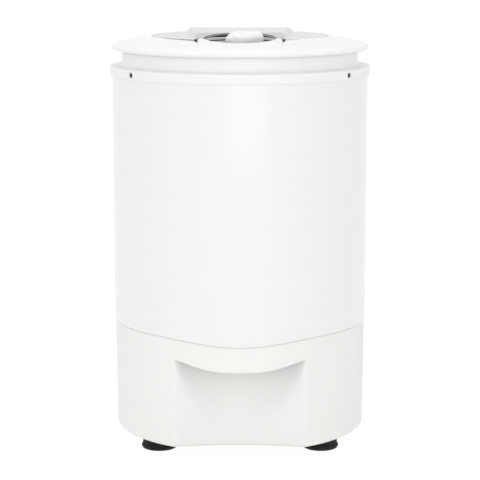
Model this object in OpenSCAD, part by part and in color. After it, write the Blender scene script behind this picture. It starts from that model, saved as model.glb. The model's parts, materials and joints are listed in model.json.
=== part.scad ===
// Free-standing laundry spin dryer: a round sheet-metal cabinet between a moulded base
// and a moulded top, with a hinged lid, a quarter-turn latch and a direct-driven drum.
// Millimetres. The origin is on the floor under the drum's axis; the front faces -Y.

/* [Cabinet] */
// Outer radius of the sheet-metal cabinet
cabinet_r = 181.5; // [170:0.5:200]
// Sheet thickness of the cabinet
cabinet_t = 0.7; // [0.6:0.1:1.2]
// Height of cabinet that shows at the sides
cabinet_h = 351.2; // [320:0.2:390]
// Visible gap along the seam between cabinet and base
seam_gap = 0.8; // [0.4:0.1:1.5]
// How far the seam dips at the front
seam_dip = 8; // [4:0.5:12]
// Half width of the dip in the seam
seam_dip_w = 120; // [100:1:140]

/* [Base] */
// How much smaller in radius the base's lower edge is than the cabinet
base_taper = 1.9; // [1:0.1:4]
// Height of the base moulding at the sides
base_h = 156.8; // [145:0.2:170]
// Wall thickness of the plastic mouldings
wall = 3; // [2.6:0.1:3.4]
// Radius of the rounded lower edge of the base
base_edge_r = 4; // [3:0.5:6]
// Height of the seam above the scoop's front lip, at the middle
lip_drop = 43.4; // [38:0.2:48]
// How far the lip rises towards its ends
lip_rise = 14.6; // [8:0.2:18]
// Half width of the lip's curve
lip_w = 110; // [100:1:120]
// Depth of the shallow channel in the base's front
channel_depth = 32.6; // [28:0.2:36]
// Radius of the shallow channel
channel_r = 465; // [400:5:520]
// Depth of the deep scoop in the base's front
scoop_depth = 67.6; // [60:0.2:70]
// Radius of the deep scoop
scoop_r = 121; // [110:1:130]
// Slope of the deep scoop from upright
scoop_tilt = 19; // [14:0.5:22]
// Height of the seam above the scoop's roof
roof_drop = 15.4; // [12:0.2:20]
// Radius of the hole in the tub deck
deck_hole_r = 100; // [90:1:110]
// Radius of the air intake in the base floor
intake_r = 88; // [70:1:92]

/* [Feet] */
// Height of the rubber feet
foot_h = 23.6; // [20:0.2:32]
// Radius of a foot at the floor
foot_r = 26; // [22:0.5:28]
// Radius of a foot under the base
foot_top_r = 22; // [18:0.5:24]
// Distance of the feet's centres inside the base's lower edge
foot_inset = 44.4; // [36:0.2:50]
// Depth of the screw recess in a foot
foot_recess = 12; // [8:0.5:16]
// Shank radius of the foot screws
foot_screw_r = 3; // [2.5:0.1:3.5]

/* [Top ring] */
// How far the trim band stands out from the cabinet
band_proud = 3.5; // [2:0.1:6]
// Height of the trim band
band_h = 13.4; // [12:0.2:18]
// Rise of the ledge between the band and the neck
ledge_rise = 0.8; // [0.4:0.2:3]
// How far the neck stands inside the cabinet's face
neck_inset = 13.5; // [10:0.5:18]
// Height of the neck
neck_h = 19; // [17:0.2:22]
// Width of the rim on top of the neck
rim_w = 18; // [14:0.5:22]
// Angle of the two front band screws from the front
band_screw_angle = 54; // [45:1:65]
// Radius of the recesses of the band screws
band_recess_r = 4; // [3.5:0.1:5]

/* [Lid] */
// How far the lid's edge stands inside the trim band's face
lid_inset = 2; // [0.5:0.5:6]
// Gap between the neck and the closed lid
lid_gap = 0.8; // [0.6:0.1:1.2]
// Height of the lid's flange
flange_h = 11.4; // [10:0.2:14]
// Height of the window above the flange
lid_rise = 9.7; // [8:0.1:14]
// Width of the white ring around the window
lid_ring_w = 52; // [48:0.5:56]
// Thickness of the window
window_t = 3; // [2.5:0.1:3.5]
// Height of the raised bridge above the window
bridge_rise = 6; // [5:0.2:8]
// Half width of the bridge where it meets the white tongue
bridge_w = 61; // [58:0.5:66]
// How much further each side of the bridge spreads at its back end
bridge_spread = 18; // [8:0.5:20]
// Distance of the bridge's front end inside the window's edge
bridge_front_inset = 26; // [22:0.5:30]
// Distance of the bridge's back end inside the window's edge
bridge_back_inset = 33; // [26:0.5:40]
// Half width of the tongue at the lid's front edge
tongue_w = 52; // [46:0.5:58]
// Slope of the tongue and the bridge's front part
tongue_slope = 4.9; // [4:0.1:5.5]

/* [Latch] */
// Distance of the knob's axis behind the bridge's front end
knob_inset = 13; // [9:0.5:17]
// Radius of the knob's round body
knob_r = 20.5; // [18:0.5:24]
// Reach of the knob's lever from its axis
lever_reach = 31; // [27:0.5:36]
// Height of the knob above the bridge
knob_rise = 5; // [3:0.2:8]
// Radius of the well around the knob
well_r = 49; // [46:0.5:52]
// Depth of the well below the window's top face
well_depth = 8; // [6:0.5:9]
// Overlap of the latched arm under the neck's rim
arm_overlap = 8; // [5:0.5:10]
// Radius of the latch spindle
spindle_r = 5; // [4:0.1:6]

/* [Drum] */
// Gap between the cabinet's face and the water tub
tub_inset = 15.5; // [13:0.5:20]
// Gap between the drum and the water tub's wall
drum_gap = 37; // [30:0.5:40]
// Sheet thickness of the drum
drum_t = 0.9; // [0.6:0.1:1.6]
// Gap between the drum's top edge and the throat
drum_top_gap = 7.6; // [6:0.2:12]
// Width of the balance ring
balance_w = 22; // [16:0.5:28]
// Height of the balance ring
balance_h = 20; // [16:0.5:24]
// Rows of perforations up the drum
drum_rows = 6; // [3:1:8]
// Perforations in each row
drum_cols = 16; // [8:1:20]
// Radius of a perforation
drum_hole_r = 2.5; // [2:0.1:3.5]

/* [Drive] */
// Radius of the motor housing
motor_r = 66; // [62:0.5:70]
// Length of the motor's stator core
stator_h = 32; // [24:1:44]
// Radius of the drive shaft
shaft_r = 10; // [9:0.1:11]
// Distance of the suspension mounts inside the base's lower edge
mount_inset = 61.6; // [58:0.2:66]
// Radius of the rubber suspension mounts
mount_r = 17; // [15:0.5:18]
// Height of the rubber suspension mounts
mount_h = 58; // [50:0.5:62]
// Thickness of the motor plate
plate_t = 3; // [2.5:0.1:3.5]

/* [Drain and power] */
// Distance of the drain spout's axis inside the water tub's face
spout_inset = 11; // [10.5:0.5:12]
// Bore radius of the drain spout
spout_bore_r = 6.5; // [6:0.1:7]
// Length of the spout below the scoop's roof
spout_h = 22; // [15:0.5:24]
// Height of the cord inlet above the floor
inlet_z = 64; // [56:0.5:90]
// Bore radius of the cord inlet
inlet_bore_r = 3.6; // [3:0.1:4.5]

/* [Hidden] */
$fn = 96;
fine_fn = 240;
small_fn = 32;
far = 300;
slack = 0.3;
run = 0.05;
leg_angles = [59, 180, 301];

// Stack of heights, from the floor up
seam_z = foot_h + base_h;
band_z = seam_z + cabinet_h;
shoulder_z = band_z + band_h;
neck_z = shoulder_z + ledge_rise;
neck_top = neck_z + neck_h;
lid_z = neck_top + lid_gap;
flange_top = lid_z + flange_h;
window_z = flange_top + lid_rise;
bridge_z = window_z + bridge_rise;
knob_top = bridge_z + knob_rise;

// Base
base_r = cabinet_r - base_taper;
seam_r = cabinet_r - 0.3;
spigot_r = cabinet_r - cabinet_t - slack - 0.1;
spigot_in_r = spigot_r - wall;
spigot_h = 10;
skirt_in_r = base_r - wall - 0.6;
floor_z = foot_h + 8;
floor_top = floor_z + wall;
floor_r = skirt_in_r - slack;
deck_z = seam_z;
deck_t = 3.5;
deck_top = deck_z + deck_t;
deck_r = spigot_in_r - slack;
deck_ledge = 3;
foot_ring_r = base_r - foot_inset;
boss_r = foot_top_r + 2;
foot_edge_r = 3;
foot_hole_r = 9;
lip_z = seam_z - lip_drop;
roof_z = seam_z - roof_drop;
channel_y = base_r - channel_depth;
scoop_y = base_r - scoop_depth;
deep_axis_y = scoop_y + scoop_r / cos(scoop_tilt);
pocket_floor = lip_z + lip_rise - (channel_y - scoop_y) / tan(scoop_tilt);

// Top ring
ring_r = cabinet_r + band_proud;
neck_r = cabinet_r - neck_inset;
rim_r = neck_r - rim_w;
band_in_r = cabinet_r + slack;
cabinet_top = shoulder_z - 4.5;
neck_in_r = neck_r - wall - 0.2;
rim_t = 3.2;
rim_under = neck_top - rim_t;
pocket_z = neck_z + 5.8;
throat_z = band_z - 26;
band_screw_z = band_z + band_h / 2;
band_screw_angles = [for (side = [-1, 1], front = [0, 1])
  side * (front == 1 ? band_screw_angle : 180 - band_screw_angle)];
band_screw_r = 2;
strike_t = 1.5;
strike_w = 80;
reed_size = [24, 6, 7];
reed_angle = -25;

// Lid
lid_r = ring_r - lid_inset;
window_r = lid_r - lid_ring_w;
bridge_front = window_r - bridge_front_inset;
bridge_back = window_r - bridge_back_inset;
flange_edge_r = 4;
lid_wall = 3.2;
ledge_w = 7;
ledge_t = 2.7;
liner_t = 3;
liner_in_r = window_r - 19;
liner_out_r = lid_r - 11.4;
liner_tab_w = 90;
gasket_r = rim_r + 4;
gasket_w = 6;
gasket_sink = 1.5;
lid_screw_r = liner_out_r - 5.6;
lid_screw_angles = [30, 75, 120, 240, 285, 330];
hinge_y = lid_r - 9;
hinge_z = neck_top - 7.8;
knuckle_r = 6;
pin_r = 2.5;
hinge_x = 60;
ring_knuckle_w = 10;
lid_knuckle_w = 6;
knuckle_gap = 0.4;

// Latch
knob_y = bridge_front - knob_inset;
well_wall = 2.3;
well_floor = window_z - well_depth;
well_floor_t = 2;
arm_t = 3;
arm_w = 14;
arm_reach = rim_r + arm_overlap - knob_y;
arm_z = rim_under - strike_t - 0.8 - arm_t;
hub_h = 5.5;
liner_boss_z = arm_z + hub_h + 0.2;

// Drive
plate_z = deck_z - 32;
plate_top = plate_z + plate_t;
plate_r = scoop_y - wall - 11;
plate_arm_w = 36;
plate_hole_r = 24;
motor_z = floor_top + 23.4;
motor_mid = (motor_z + plate_z) / 2 + 4;
motor_floor_t = 4;
core_bore_r = 40;
air_gap = 0.6;
winding_h = 11;
bearing_h = 12;
lower_bearing_r = 17.5;
upper_bearing_r = 20;
housing_top = deck_top + 14.5;
housing_foot_r = 48;
housing_neck_r = 26;
housing_flare = 10;
vent_r = 7;
fan_z = motor_z - 13;
fan_h = 11;
fan_r = 54;
mount_ring_r = base_r - mount_inset;
post_r = mount_r + 3;
post_top = plate_z - mount_h;
stud_r = 4;
nut_r = 7.5;

// Tub and drum
tub_r = cabinet_r - tub_inset;
tub_floor_z = deck_top + 4.5;
tub_top = neck_z - 1.2;
tub_hole_r = 62;
drum_r = tub_r - wall - drum_gap;
mouth_r = drum_r - balance_w;
throat_r = drum_r - 6.5;
hub_z = housing_top + 4;
hub_t = 8;
hub_r = 68;
hub_neck_r = 21;
drum_z = hub_z + hub_t;
drum_top = throat_z - drum_top_gap;
drum_corner_r = 6;
nut_z = drum_z + 24;
nut_h = 10;
hub_nut_r = 14;
cone_r = 53;
cone_rise = 26;
cone_top_r = 13;
cone_bevel = 6;

// Drain and power
spout_y = tub_r - spout_inset;
spout_z = roof_z - spout_h;
outlet_r = spout_bore_r + 3.5;
outlet_bore_r = spout_bore_r + 1;
outlet_z = deck_z - 8;
inlet_flange_r = inlet_bore_r + 7.4;
electric_r = skirt_in_r - 55;
electric_angle = 130;
can_r = 20;
can_h = 76;
cup_h = 18;
box_size = [56, 36, 54];
box_cover_t = 4;
box_cover_edge = 3;

// Points of an arc in the order of its angles
function arc_points(centre, r, from, to, steps = 5) =
  [for (i = [0:steps]) let (a = from + (to - from) * i / steps)
    [centre[0] + r * cos(a), centre[1] + r * sin(a)]];

// Height of a cosine dip at a distance x from its middle
function dip_height(x, edge_z, dip, half_w) =
  edge_z - (abs(x) < half_w ? dip * (1 + cos(180 * x / half_w)) / 2 : 0);

// Places children on a circle, at an angle from the front seen from above
module from_front(angle, r) {
  rotate(angle) translate([0, -r, 0]) children();
}

module tube(outer, inner, bottom, top) {
  translate([0, 0, bottom]) difference() {
    cylinder(r = outer, h = top - bottom);
    translate([0, 0, -1]) cylinder(r = inner, h = top - bottom + 2);
  }
}

module rod(r, bottom, top) {
  translate([0, 0, bottom]) cylinder(r = r, h = top - bottom);
}

// Everything in front of the axis and below a curve that dips at the middle
module below_curve(edge_z, dip, half_w) {
  steps = 24;
  curve = [for (i = [0:steps]) let (x = half_w * (2 * i / steps - 1))
    [x, dip_height(x, edge_z, dip, half_w)]];
  rotate([90, 0, 0]) linear_extrude(far)
    polygon(concat([[-far, -1], [-far, edge_z]], curve, [[far, edge_z], [far, -1]]));
}

// ---------------------------------------------------------------- base

// The shallow upright channel in the base's front
module channel(grow) {
  translate([0, -channel_y - channel_r, 0])
    cylinder(r = channel_r + grow, h = seam_z, $fn = fine_fn * 2);
}

// The deeper sloped part of the scoop
module deep_scoop(grow) {
  translate([0, -deep_axis_y, lip_z + lip_rise]) rotate([-scoop_tilt, 0, 0])
    cylinder(r = scoop_r + grow, h = 2 * seam_z, center = true, $fn = fine_fn);
}

module scoop(grow) {
  channel(grow);
  deep_scoop(grow);
}

module scoop_void() {
  intersection() {
    scoop(0);
    union() {
      below_curve(lip_z + lip_rise, lip_rise, lip_w);
      rod(skirt_in_r + 0.5, -1, roof_z);
    }
    rod(far, -1, roof_z);
  }
}

// Everything that fits inside the skirt's inner side
module skirt_inside() {
  rotate_extrude($fn = fine_fn) polygon([
    [0, foot_h], [base_r - base_edge_r - 2, foot_h], [skirt_in_r, foot_h + base_edge_r + 3],
    [skirt_in_r, roof_z + wall], [0, roof_z + wall]
  ]);
}

// Insert in the skirt's front opening, with the shallow channel
module scoop_panel() color("#F1F1EE") difference() {
  intersection() {
    channel(wall);
    skirt_inside();
    rod(far, -1, roof_z);
  }
  scoop(0);
  intersection() {
    deep_scoop(wall);
    rod(far, pocket_floor, roof_z);
  }
}

// Insert behind the panel, with the sloped back of the hollow
module scoop_pocket() color("#F1F1EE") difference() {
  intersection() {
    deep_scoop(wall);
    skirt_inside();
    rod(far, pocket_floor, roof_z);
  }
  scoop(0);
}

// Plate over the hollow, with the hole for the spout
module scoop_roof() color("#F1F1EE") difference() {
  intersection() {
    scoop(wall);
    skirt_inside();
    rod(far, roof_z, roof_z + wall);
  }
  from_front(0, spout_y) rod(spout_bore_r + 2.6, roof_z - 1, roof_z + wall + 1);
}

module base_skirt() {
  edge = arc_points([base_r - base_edge_r, foot_h + base_edge_r], base_edge_r, -90, 0);
  outline = concat(edge, [
    [seam_r, seam_z],
    [deck_r - deck_ledge, seam_z],
    [deck_r - deck_ledge, seam_z - 4],
    [skirt_in_r + 1, seam_z - 8],
    [skirt_in_r, foot_h + base_edge_r + 3],
    [base_r - base_edge_r - 2, foot_h]
  ]);
  difference() {
    rotate_extrude($fn = fine_fn) polygon(outline);
    difference() {
      translate([-far, -far, seam_z - seam_dip - 1]) cube([2 * far, far, seam_dip + 2]);
      below_curve(seam_z, seam_dip, seam_dip_w);
      rod(spigot_r, 0, seam_z + 2);
    }
  }
  tube(spigot_r, spigot_in_r, seam_z - seam_dip - 4, seam_z + spigot_h, $fn = fine_fn);
}

module base_moulding() color("#F1F1EE") difference() {
  base_skirt();
  scoop_void();
  inlet_place() cylinder(r = inlet_bore_r + 4.5, h = 2 * wall + 6, center = true);
}

// The bottom plate, with a post for each suspension mount and a boss over each foot
module base_floor() color("#E6E7E4") difference() {
  union() {
    tube(floor_r, intake_r, floor_z, floor_top);
    for (a = leg_angles) {
      from_front(a, mount_ring_r) tube(post_r, post_r - wall, floor_top - 1, post_top);
      from_front(a, mount_ring_r) rod(post_r, post_top - 4, post_top);
      from_front(a, foot_ring_r) rod(boss_r, foot_h, floor_z + 1);
    }
  }
  scoop(wall + slack);
  for (a = leg_angles) {
    from_front(a, foot_ring_r) rod(foot_screw_r + 0.1, 0, floor_top + 1, $fn = small_fn);
    from_front(a, mount_ring_r) rod(stud_r + 0.2, post_top - 5, post_top + 1, $fn = small_fn);
  }
}

// The ring-shaped deck that carries the water tub
module tub_deck() color("#E6E7E4") difference() {
  tube(deck_r, deck_hole_r, deck_z, deck_top);
  from_front(0, spout_y) rod(outlet_r + 3, deck_z - 1, deck_top + 1);
}

module foot(index) {
  outline = concat(
    [[foot_screw_r + 0.2, foot_recess], [foot_screw_r + 0.2, foot_h], [foot_top_r, foot_h]],
    [[foot_r, foot_edge_r]], arc_points([foot_r - foot_edge_r, foot_edge_r], foot_edge_r, 0, -90, 3),
    [[foot_hole_r, 0], [foot_hole_r, foot_recess]]);
  color("#1B1B1D") from_front(leg_angles[index], foot_ring_r) rotate_extrude($fn = 64) polygon(outline);
}

module foot_right() foot(0);
module foot_rear() foot(1);
module foot_left() foot(2);

module foot_screws() color("#8A8C8F") for (a = leg_angles) from_front(a, foot_ring_r) {
  rod(foot_hole_r - 1.5, foot_recess - 4, foot_recess, $fn = small_fn);
  rod(foot_screw_r, foot_recess - 1, floor_top - 0.5, $fn = small_fn);
}

// ---------------------------------------------------------------- cabinet and top ring

module band_screw_hole(r) {
  for (a = band_screw_angles)
    from_front(a, neck_r) translate([0, 0, band_screw_z]) rotate([90, 0, 0])
      cylinder(r = r, h = 30, $fn = small_fn);
}

module cabinet() color("#F2F2F2") difference() {
  tube(cabinet_r, cabinet_r - cabinet_t, seam_z - seam_dip, cabinet_top, $fn = fine_fn);
  below_curve(seam_z + seam_gap, seam_dip, seam_dip_w);
  translate([-far, 0, 0]) cube([2 * far, far, seam_z + seam_gap]);
  band_screw_hole(band_screw_r + 0.2);
}

// One bracket of the lid hinge, behind the neck
module ring_knuckle(side) {
  difference() {
    union() {
      translate([side * hinge_x - ring_knuckle_w / 2, hinge_y, hinge_z])
        rotate([0, 90, 0]) cylinder(r = knuckle_r, h = ring_knuckle_w, $fn = 48);
      translate([side * hinge_x - ring_knuckle_w / 2, neck_r - 14, hinge_z - knuckle_r])
        cube([ring_knuckle_w, hinge_y - neck_r + 14, 2 * knuckle_r - 2]);
    }
    rod(neck_in_r + 1, hinge_z - 10, hinge_z + 10);
    hinge_bore(pin_r);
  }
}

module hinge_bore(r) {
  translate([-far / 2, hinge_y, hinge_z]) rotate([0, 90, 0]) cylinder(r = r, h = far, $fn = 48);
}

module top_ring() color("#F4F4F0") {
  band_round = 2.4;
  outline = concat(
    [[band_in_r, band_z], [ring_r - 0.8, band_z], [ring_r, band_z + 0.8]],
    arc_points([ring_r - band_round, shoulder_z - band_round], band_round, 0, 86, 5),
    arc_points([neck_r + 2.5, neck_z + 2.5], 2.5, 265, 180, 5),
    [[neck_r, neck_top - 1.5], [neck_r - 1.5, neck_top], [rim_r + 1, neck_top],
     [rim_r, neck_top - 1], [rim_r, rim_under], [neck_in_r, rim_under],
     [neck_in_r, pocket_z], [neck_in_r - 4.8, pocket_z - 3],
     [throat_r + 3.5, throat_z + 18.4], [throat_r, throat_z + 12], [throat_r, throat_z],
     [throat_r + wall, throat_z], [throat_r + wall, throat_z + 11],
     [throat_r + 6, throat_z + 16], [neck_in_r - 3, pocket_z - 6.5],
     [tub_r + 0.4, tub_top + 2], [tub_r + 0.4, tub_top - 14], [tub_r + 3.4, tub_top - 14],
     [tub_r + 3.4, shoulder_z - 1], [spigot_in_r, cabinet_top + 0.8],
     [spigot_in_r, band_z - 12], [spigot_r, band_z - 12],
     [spigot_r, cabinet_top + 0.7], [band_in_r, cabinet_top + 0.7]]);
  difference() {
    rotate_extrude($fn = fine_fn) polygon(outline);
    band_screw_hole(band_screw_r + 0.2);
    for (a = band_screw_angles)
      rotate(a) translate([0, -ring_r + 1.8, band_screw_z]) rotate([90, 0, 0])
        cylinder(r = band_recess_r, h = 5, $fn = small_fn);
  }
  for (side = [-1, 1]) ring_knuckle(side);
}

module band_screws() color("#3A3A3C") for (a = band_screw_angles)
  rotate(a) translate([0, 0, band_screw_z]) rotate([90, 0, 0]) {
    translate([0, 0, ring_r - 1.8]) cylinder(r = band_recess_r - 0.4, h = 1.2, $fn = small_fn);
    translate([0, 0, neck_r + 5]) cylinder(r = band_screw_r, h = ring_r - neck_r - 6, $fn = small_fn);
  }

// Steel plate under the neck's rim that the latch arm swings under
module strike_plate() color("#B9BCC0") intersection() {
  tube(neck_in_r - 0.2, rim_r + 0.5, rim_under - strike_t, rim_under);
  translate([-strike_w / 2, -far, 0]) cube([strike_w, far, far * 3]);
}

module reed_switch() color("#2B2D30") rotate(reed_angle)
  translate([-reed_size[0] / 2, -neck_in_r + 1.8, pocket_z + 0.1]) cube(reed_size);

module hinge_pins() color("#C5C8CB") for (side = [-1, 1])
  translate([side * hinge_x - ring_knuckle_w / 2 - knuckle_gap - lid_knuckle_w, hinge_y, hinge_z])
    rotate([0, 90, 0])
      cylinder(r = pin_r, h = ring_knuckle_w + 2 * knuckle_gap + 2 * lid_knuckle_w, $fn = 48);

// ---------------------------------------------------------------- tub and drain

module outer_tub() color("#D9DADA") difference() {
  union() {
    tube(tub_r, tub_r - wall, deck_top, tub_top, $fn = 180);
    tube(tub_r - 1, tub_hole_r, tub_floor_z, tub_floor_z + wall, $fn = 180);
    from_front(0, spout_y) rod(outlet_r, outlet_z, tub_floor_z + 1);
  }
  from_front(0, spout_y) rod(outlet_bore_r, outlet_z - 1, tub_floor_z + wall + 1);
}

module tub_bellows() color("#3C3D3F") {
  seat = tub_floor_z + wall;
  crest = housing_top + 1.5;
  trough = housing_top - 3;
  hem_r = housing_neck_r + 5.05;
  first_r = hem_r + 7;
  fold = 6;
  sheet = 3;
  rotate_extrude() polygon([
    [hem_r, trough], [hem_r, housing_top], [hem_r + 2, housing_top], [first_r, trough],
    [first_r + fold, crest], [first_r + 2 * fold, trough], [first_r + 3 * fold, crest],
    [tub_hole_r - 2, seat + 4], [tub_hole_r + 5, seat + 4], [tub_hole_r + 5, seat],
    [tub_hole_r - 3.5, seat], [first_r + 3 * fold, crest - sheet],
    [first_r + 2 * fold, trough - sheet], [first_r + fold, crest - sheet],
    [first_r, trough - sheet], [hem_r + 2, trough]
  ]);
}

module drain_spout() color("#E4E5E3") from_front(0, spout_y) rotate_extrude($fn = 64) polygon([
  [spout_bore_r, spout_z], [spout_bore_r + 1.6, spout_z], [spout_bore_r + 2.3, spout_z + 3],
  [spout_bore_r + 2.3, roof_z + wall], [outlet_r + 5, roof_z + wall],
  [outlet_r + 5, roof_z + wall + 2], [outlet_r + 2.4, roof_z + wall + 2],
  [outlet_r + 2.4, outlet_z + 7], [outlet_r + 0.1, outlet_z + 7],
  [outlet_r + 0.1, outlet_z - 2], [spout_bore_r, outlet_z - 2]
]);

// ---------------------------------------------------------------- drive

module motor_plate() color("#9EA2A6") difference() {
  union() {
    rod(plate_r, plate_z, plate_top);
    for (a = leg_angles) {
      from_front(a, mount_ring_r) rod(post_r, plate_z, plate_top);
      rotate(a) translate([-plate_arm_w / 2, -mount_ring_r, plate_z])
        cube([plate_arm_w, mount_ring_r, plate_t]);
    }
  }
  rod(plate_hole_r, plate_z - 1, plate_top + 1);
  for (a = leg_angles) from_front(a, mount_ring_r)
    rod(stud_r + 0.2, plate_z - 1, plate_top + 1, $fn = small_fn);
}

module suspension_mount(index) {
  waist = mount_r - 3;
  color("#242426") from_front(leg_angles[index], mount_ring_r) rotate_extrude($fn = 48) polygon([
    [stud_r + 0.1, post_top], [mount_r, post_top], [mount_r, post_top + 5],
    [waist, post_top + 10], [mount_r, post_top + mount_h / 2], [waist, plate_z - 10],
    [mount_r, plate_z - 5], [mount_r, plate_z], [stud_r + 0.1, plate_z]
  ]);
}

module mount_right() suspension_mount(0);
module mount_rear() suspension_mount(1);
module mount_left() suspension_mount(2);

module mount_studs() color("#A9ACB0") for (a = leg_angles) from_front(a, mount_ring_r) {
  rod(stud_r, post_top - 12, plate_top + 9, $fn = small_fn);
  rod(nut_r, post_top - 10, post_top - 4, $fn = 6);
  rod(nut_r, plate_top, plate_top + 6, $fn = 6);
}

module motor_housing() color("#55585C") {
  seat = motor_z + motor_floor_t;
  difference() {
    rotate_extrude() polygon([
      [shaft_r + 2, motor_z], [motor_r - 3, motor_z], [motor_r, motor_z + 3],
      [motor_r, plate_z], [plate_hole_r, plate_z], [plate_hole_r, plate_z - motor_floor_t],
      [motor_r - wall, plate_z - motor_floor_t], [motor_r - wall, seat + 0.5],
      [lower_bearing_r + 4.5, seat + 0.5], [lower_bearing_r + 4.5, seat + bearing_h + 2],
      [lower_bearing_r, seat + bearing_h + 2], [lower_bearing_r, seat], [shaft_r + 2, seat]
    ]);
    for (i = [0:7]) from_front(i * 45, motor_r - 24) rod(vent_r, motor_z - 1, seat + 1, $fn = small_fn);
  }
}

module stator_core() color("#6E7276")
  tube(motor_r - wall - 0.2, core_bore_r, motor_mid - stator_h / 2, motor_mid + stator_h / 2);

module winding(bottom, top) {
  color("#A8572E") rotate_extrude() polygon([
    [core_bore_r + 4, bottom], [core_bore_r + 18, bottom], [core_bore_r + 20, (bottom + top) / 2],
    [core_bore_r + 17, top], [core_bore_r + 5, top], [core_bore_r + 2, (bottom + top) / 2]
  ]);
}

module winding_upper() winding(motor_mid + stator_h / 2, motor_mid + stator_h / 2 + winding_h);
module winding_lower() winding(motor_mid - stator_h / 2 - winding_h, motor_mid - stator_h / 2);

module bearing_housing() color("#7D8186") rotate_extrude() polygon([
  [shaft_r + 4, plate_top], [housing_foot_r, plate_top], [housing_foot_r, plate_top + plate_t],
  [housing_neck_r, plate_top + housing_flare], [housing_neck_r, housing_top - 5],
  [housing_neck_r + 5, housing_top - 3], [housing_neck_r + 5, housing_top],
  [upper_bearing_r, housing_top], [upper_bearing_r, housing_top - bearing_h - 2],
  [shaft_r + 4, housing_top - bearing_h - 2]
]);

module bearing(outer, bottom) {
  top = bottom + bearing_h;
  mid = (shaft_r + outer) / 2;
  color("#C9CBCE") rotate_extrude() polygon([
    [shaft_r + run, bottom], [mid - 2, bottom], [mid - 2, bottom + 1], [mid + 2, bottom + 1],
    [mid + 2, bottom], [outer, bottom], [outer, top], [mid + 2, top], [mid + 2, top - 1],
    [mid - 2, top - 1], [mid - 2, top], [shaft_r + run, top]
  ]);
}

module bearing_upper() bearing(upper_bearing_r, housing_top - bearing_h - 2);
module bearing_lower() bearing(lower_bearing_r, motor_z + motor_floor_t);

module electric_place(side) {
  from_front(side * electric_angle, electric_r) children();
}

module capacitor() color("#D7D9DA") electric_place(-1) {
  top = floor_top + 2 + can_h;
  rod(can_r, floor_top + 2, top, $fn = 48);
  for (x = [-6, 6]) translate([x - 2, -3, top - 1]) cube([4, 6, 9]);
}

module capacitor_cup() color("#4A4C4F") electric_place(-1) difference() {
  rod(can_r + 2.5, floor_top, floor_top + cup_h, $fn = 48);
  rod(can_r + 0.1, floor_top + 2, floor_top + cup_h + 1, $fn = 48);
}

module control_box() color("#3B3E42") electric_place(1) {
  cover = [box_size[0] + 2 * box_cover_edge, box_size[1] + 2 * box_cover_edge, box_cover_t];
  translate([-box_size[0] / 2, -box_size[1] / 2, floor_top]) cube(box_size);
  translate([-cover[0] / 2, -cover[1] / 2, floor_top + box_size[2] - 0.5]) cube(cover);
}

// Centre of the cord inlet, in the wall at the back, with +Z pointing out
module inlet_place() {
  translate([0, base_r - wall / 2, inlet_z]) rotate([-90, 0, 0]) children();
}

module cord_inlet() color("#1E1F21") inlet_place() {
  shank_r = inlet_bore_r + 4.4;
  face = wall / 2 + 0.6;
  back = wall / 2 + 0.6 + slack;
  rotate_extrude($fn = 64) polygon([
    [inlet_bore_r, -back - 4], [inlet_flange_r, -back - 4], [inlet_flange_r, -back - 1],
    [shank_r, -back - 1], [shank_r, face], [inlet_flange_r, face], [inlet_flange_r - 1, face + 4],
    [inlet_bore_r, face + 4]
  ]);
}

// ---------------------------------------------------------------- turning parts

module drive_shaft() color("#B4B7BA") {
  rod(shaft_r, motor_z - 1, nut_z);
  rod(shaft_r - 4, fan_z - 2, motor_z);
  rod(shaft_r - 2, nut_z - 1, nut_z + nut_h + 4);
}

module rotor_core() color("#8C9094")
  tube(core_bore_r - air_gap, shaft_r, motor_mid - stator_h / 2 - 2, motor_mid + stator_h / 2 + 2);

module cooling_fan() color("#2E3033") {
  difference() {
    union() {
      rod(16, fan_z, fan_z + fan_h);
      rod(fan_r, fan_z, fan_z + 1.8);
      for (i = [0:9]) rotate(i * 36) translate([14, -1, fan_z]) cube([fan_r - 16, 2, fan_h]);
    }
    rod(shaft_r - 4, fan_z - 1, fan_z + fan_h + 1);
  }
}

module drum_hub() color("#A6A9AC") rotate_extrude() polygon([
  [shaft_r, hub_z], [hub_neck_r + 1, hub_z], [hub_neck_r + 1, hub_z + 2.5],
  [hub_r, drum_z - 3], [hub_r, drum_z], [hub_neck_r, drum_z], [hub_neck_r, nut_z - 6],
  [shaft_r + 4, nut_z], [shaft_r, nut_z]
]);

module drum() color("#C4C6C8") difference() {
  tube(drum_r, drum_r - drum_t, drum_z + drum_corner_r, drum_top, $fn = 120);
  row_gap = (drum_top - drum_z - balance_h - 50) / (drum_rows - 1);
  for (row = [0:drum_rows - 1], col = [0:drum_cols - 1])
    rotate((col + (row % 2) / 2) * 360 / drum_cols)
      translate([drum_r - 6, 0, drum_z + 22 + row * row_gap]) rotate([0, 90, 0])
        cylinder(r = drum_hole_r, h = 12, $fn = 16);
}

// Pressed floor of the drum, whose upturned edge the wall stands on
module drum_floor() color("#C4C6C8") rotate_extrude($fn = 120) polygon([
  [hub_neck_r + 0.1, drum_z], [drum_r - drum_corner_r, drum_z], [drum_r, drum_z + drum_corner_r],
  [drum_r - drum_t, drum_z + drum_corner_r],
  [drum_r - drum_corner_r - 0.5, drum_z + drum_t], [hub_neck_r + 0.1, drum_z + drum_t]
]);

module drum_cone() color("#E6E7E5") {
  foot_z = drum_z + drum_t;
  peak_z = nut_z + cone_rise;
  rotate_extrude() polygon([
    [cone_r - 4, foot_z], [cone_r, foot_z], [cone_r - 1, foot_z + 3],
    [cone_top_r + cone_bevel, peak_z - cone_bevel], [cone_top_r, peak_z], [0, peak_z],
    [0, peak_z - 2], [cone_top_r - 1, peak_z - 2],
    [cone_top_r + cone_bevel - 2, peak_z - cone_bevel - 1]
  ]);
}

module hub_nut() color("#B0B3B6") difference() {
  rod(hub_nut_r, nut_z, nut_z + nut_h, $fn = 6);
  rod(shaft_r - 2, nut_z - 1, nut_z + nut_h + 1, $fn = 48);
}

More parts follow.
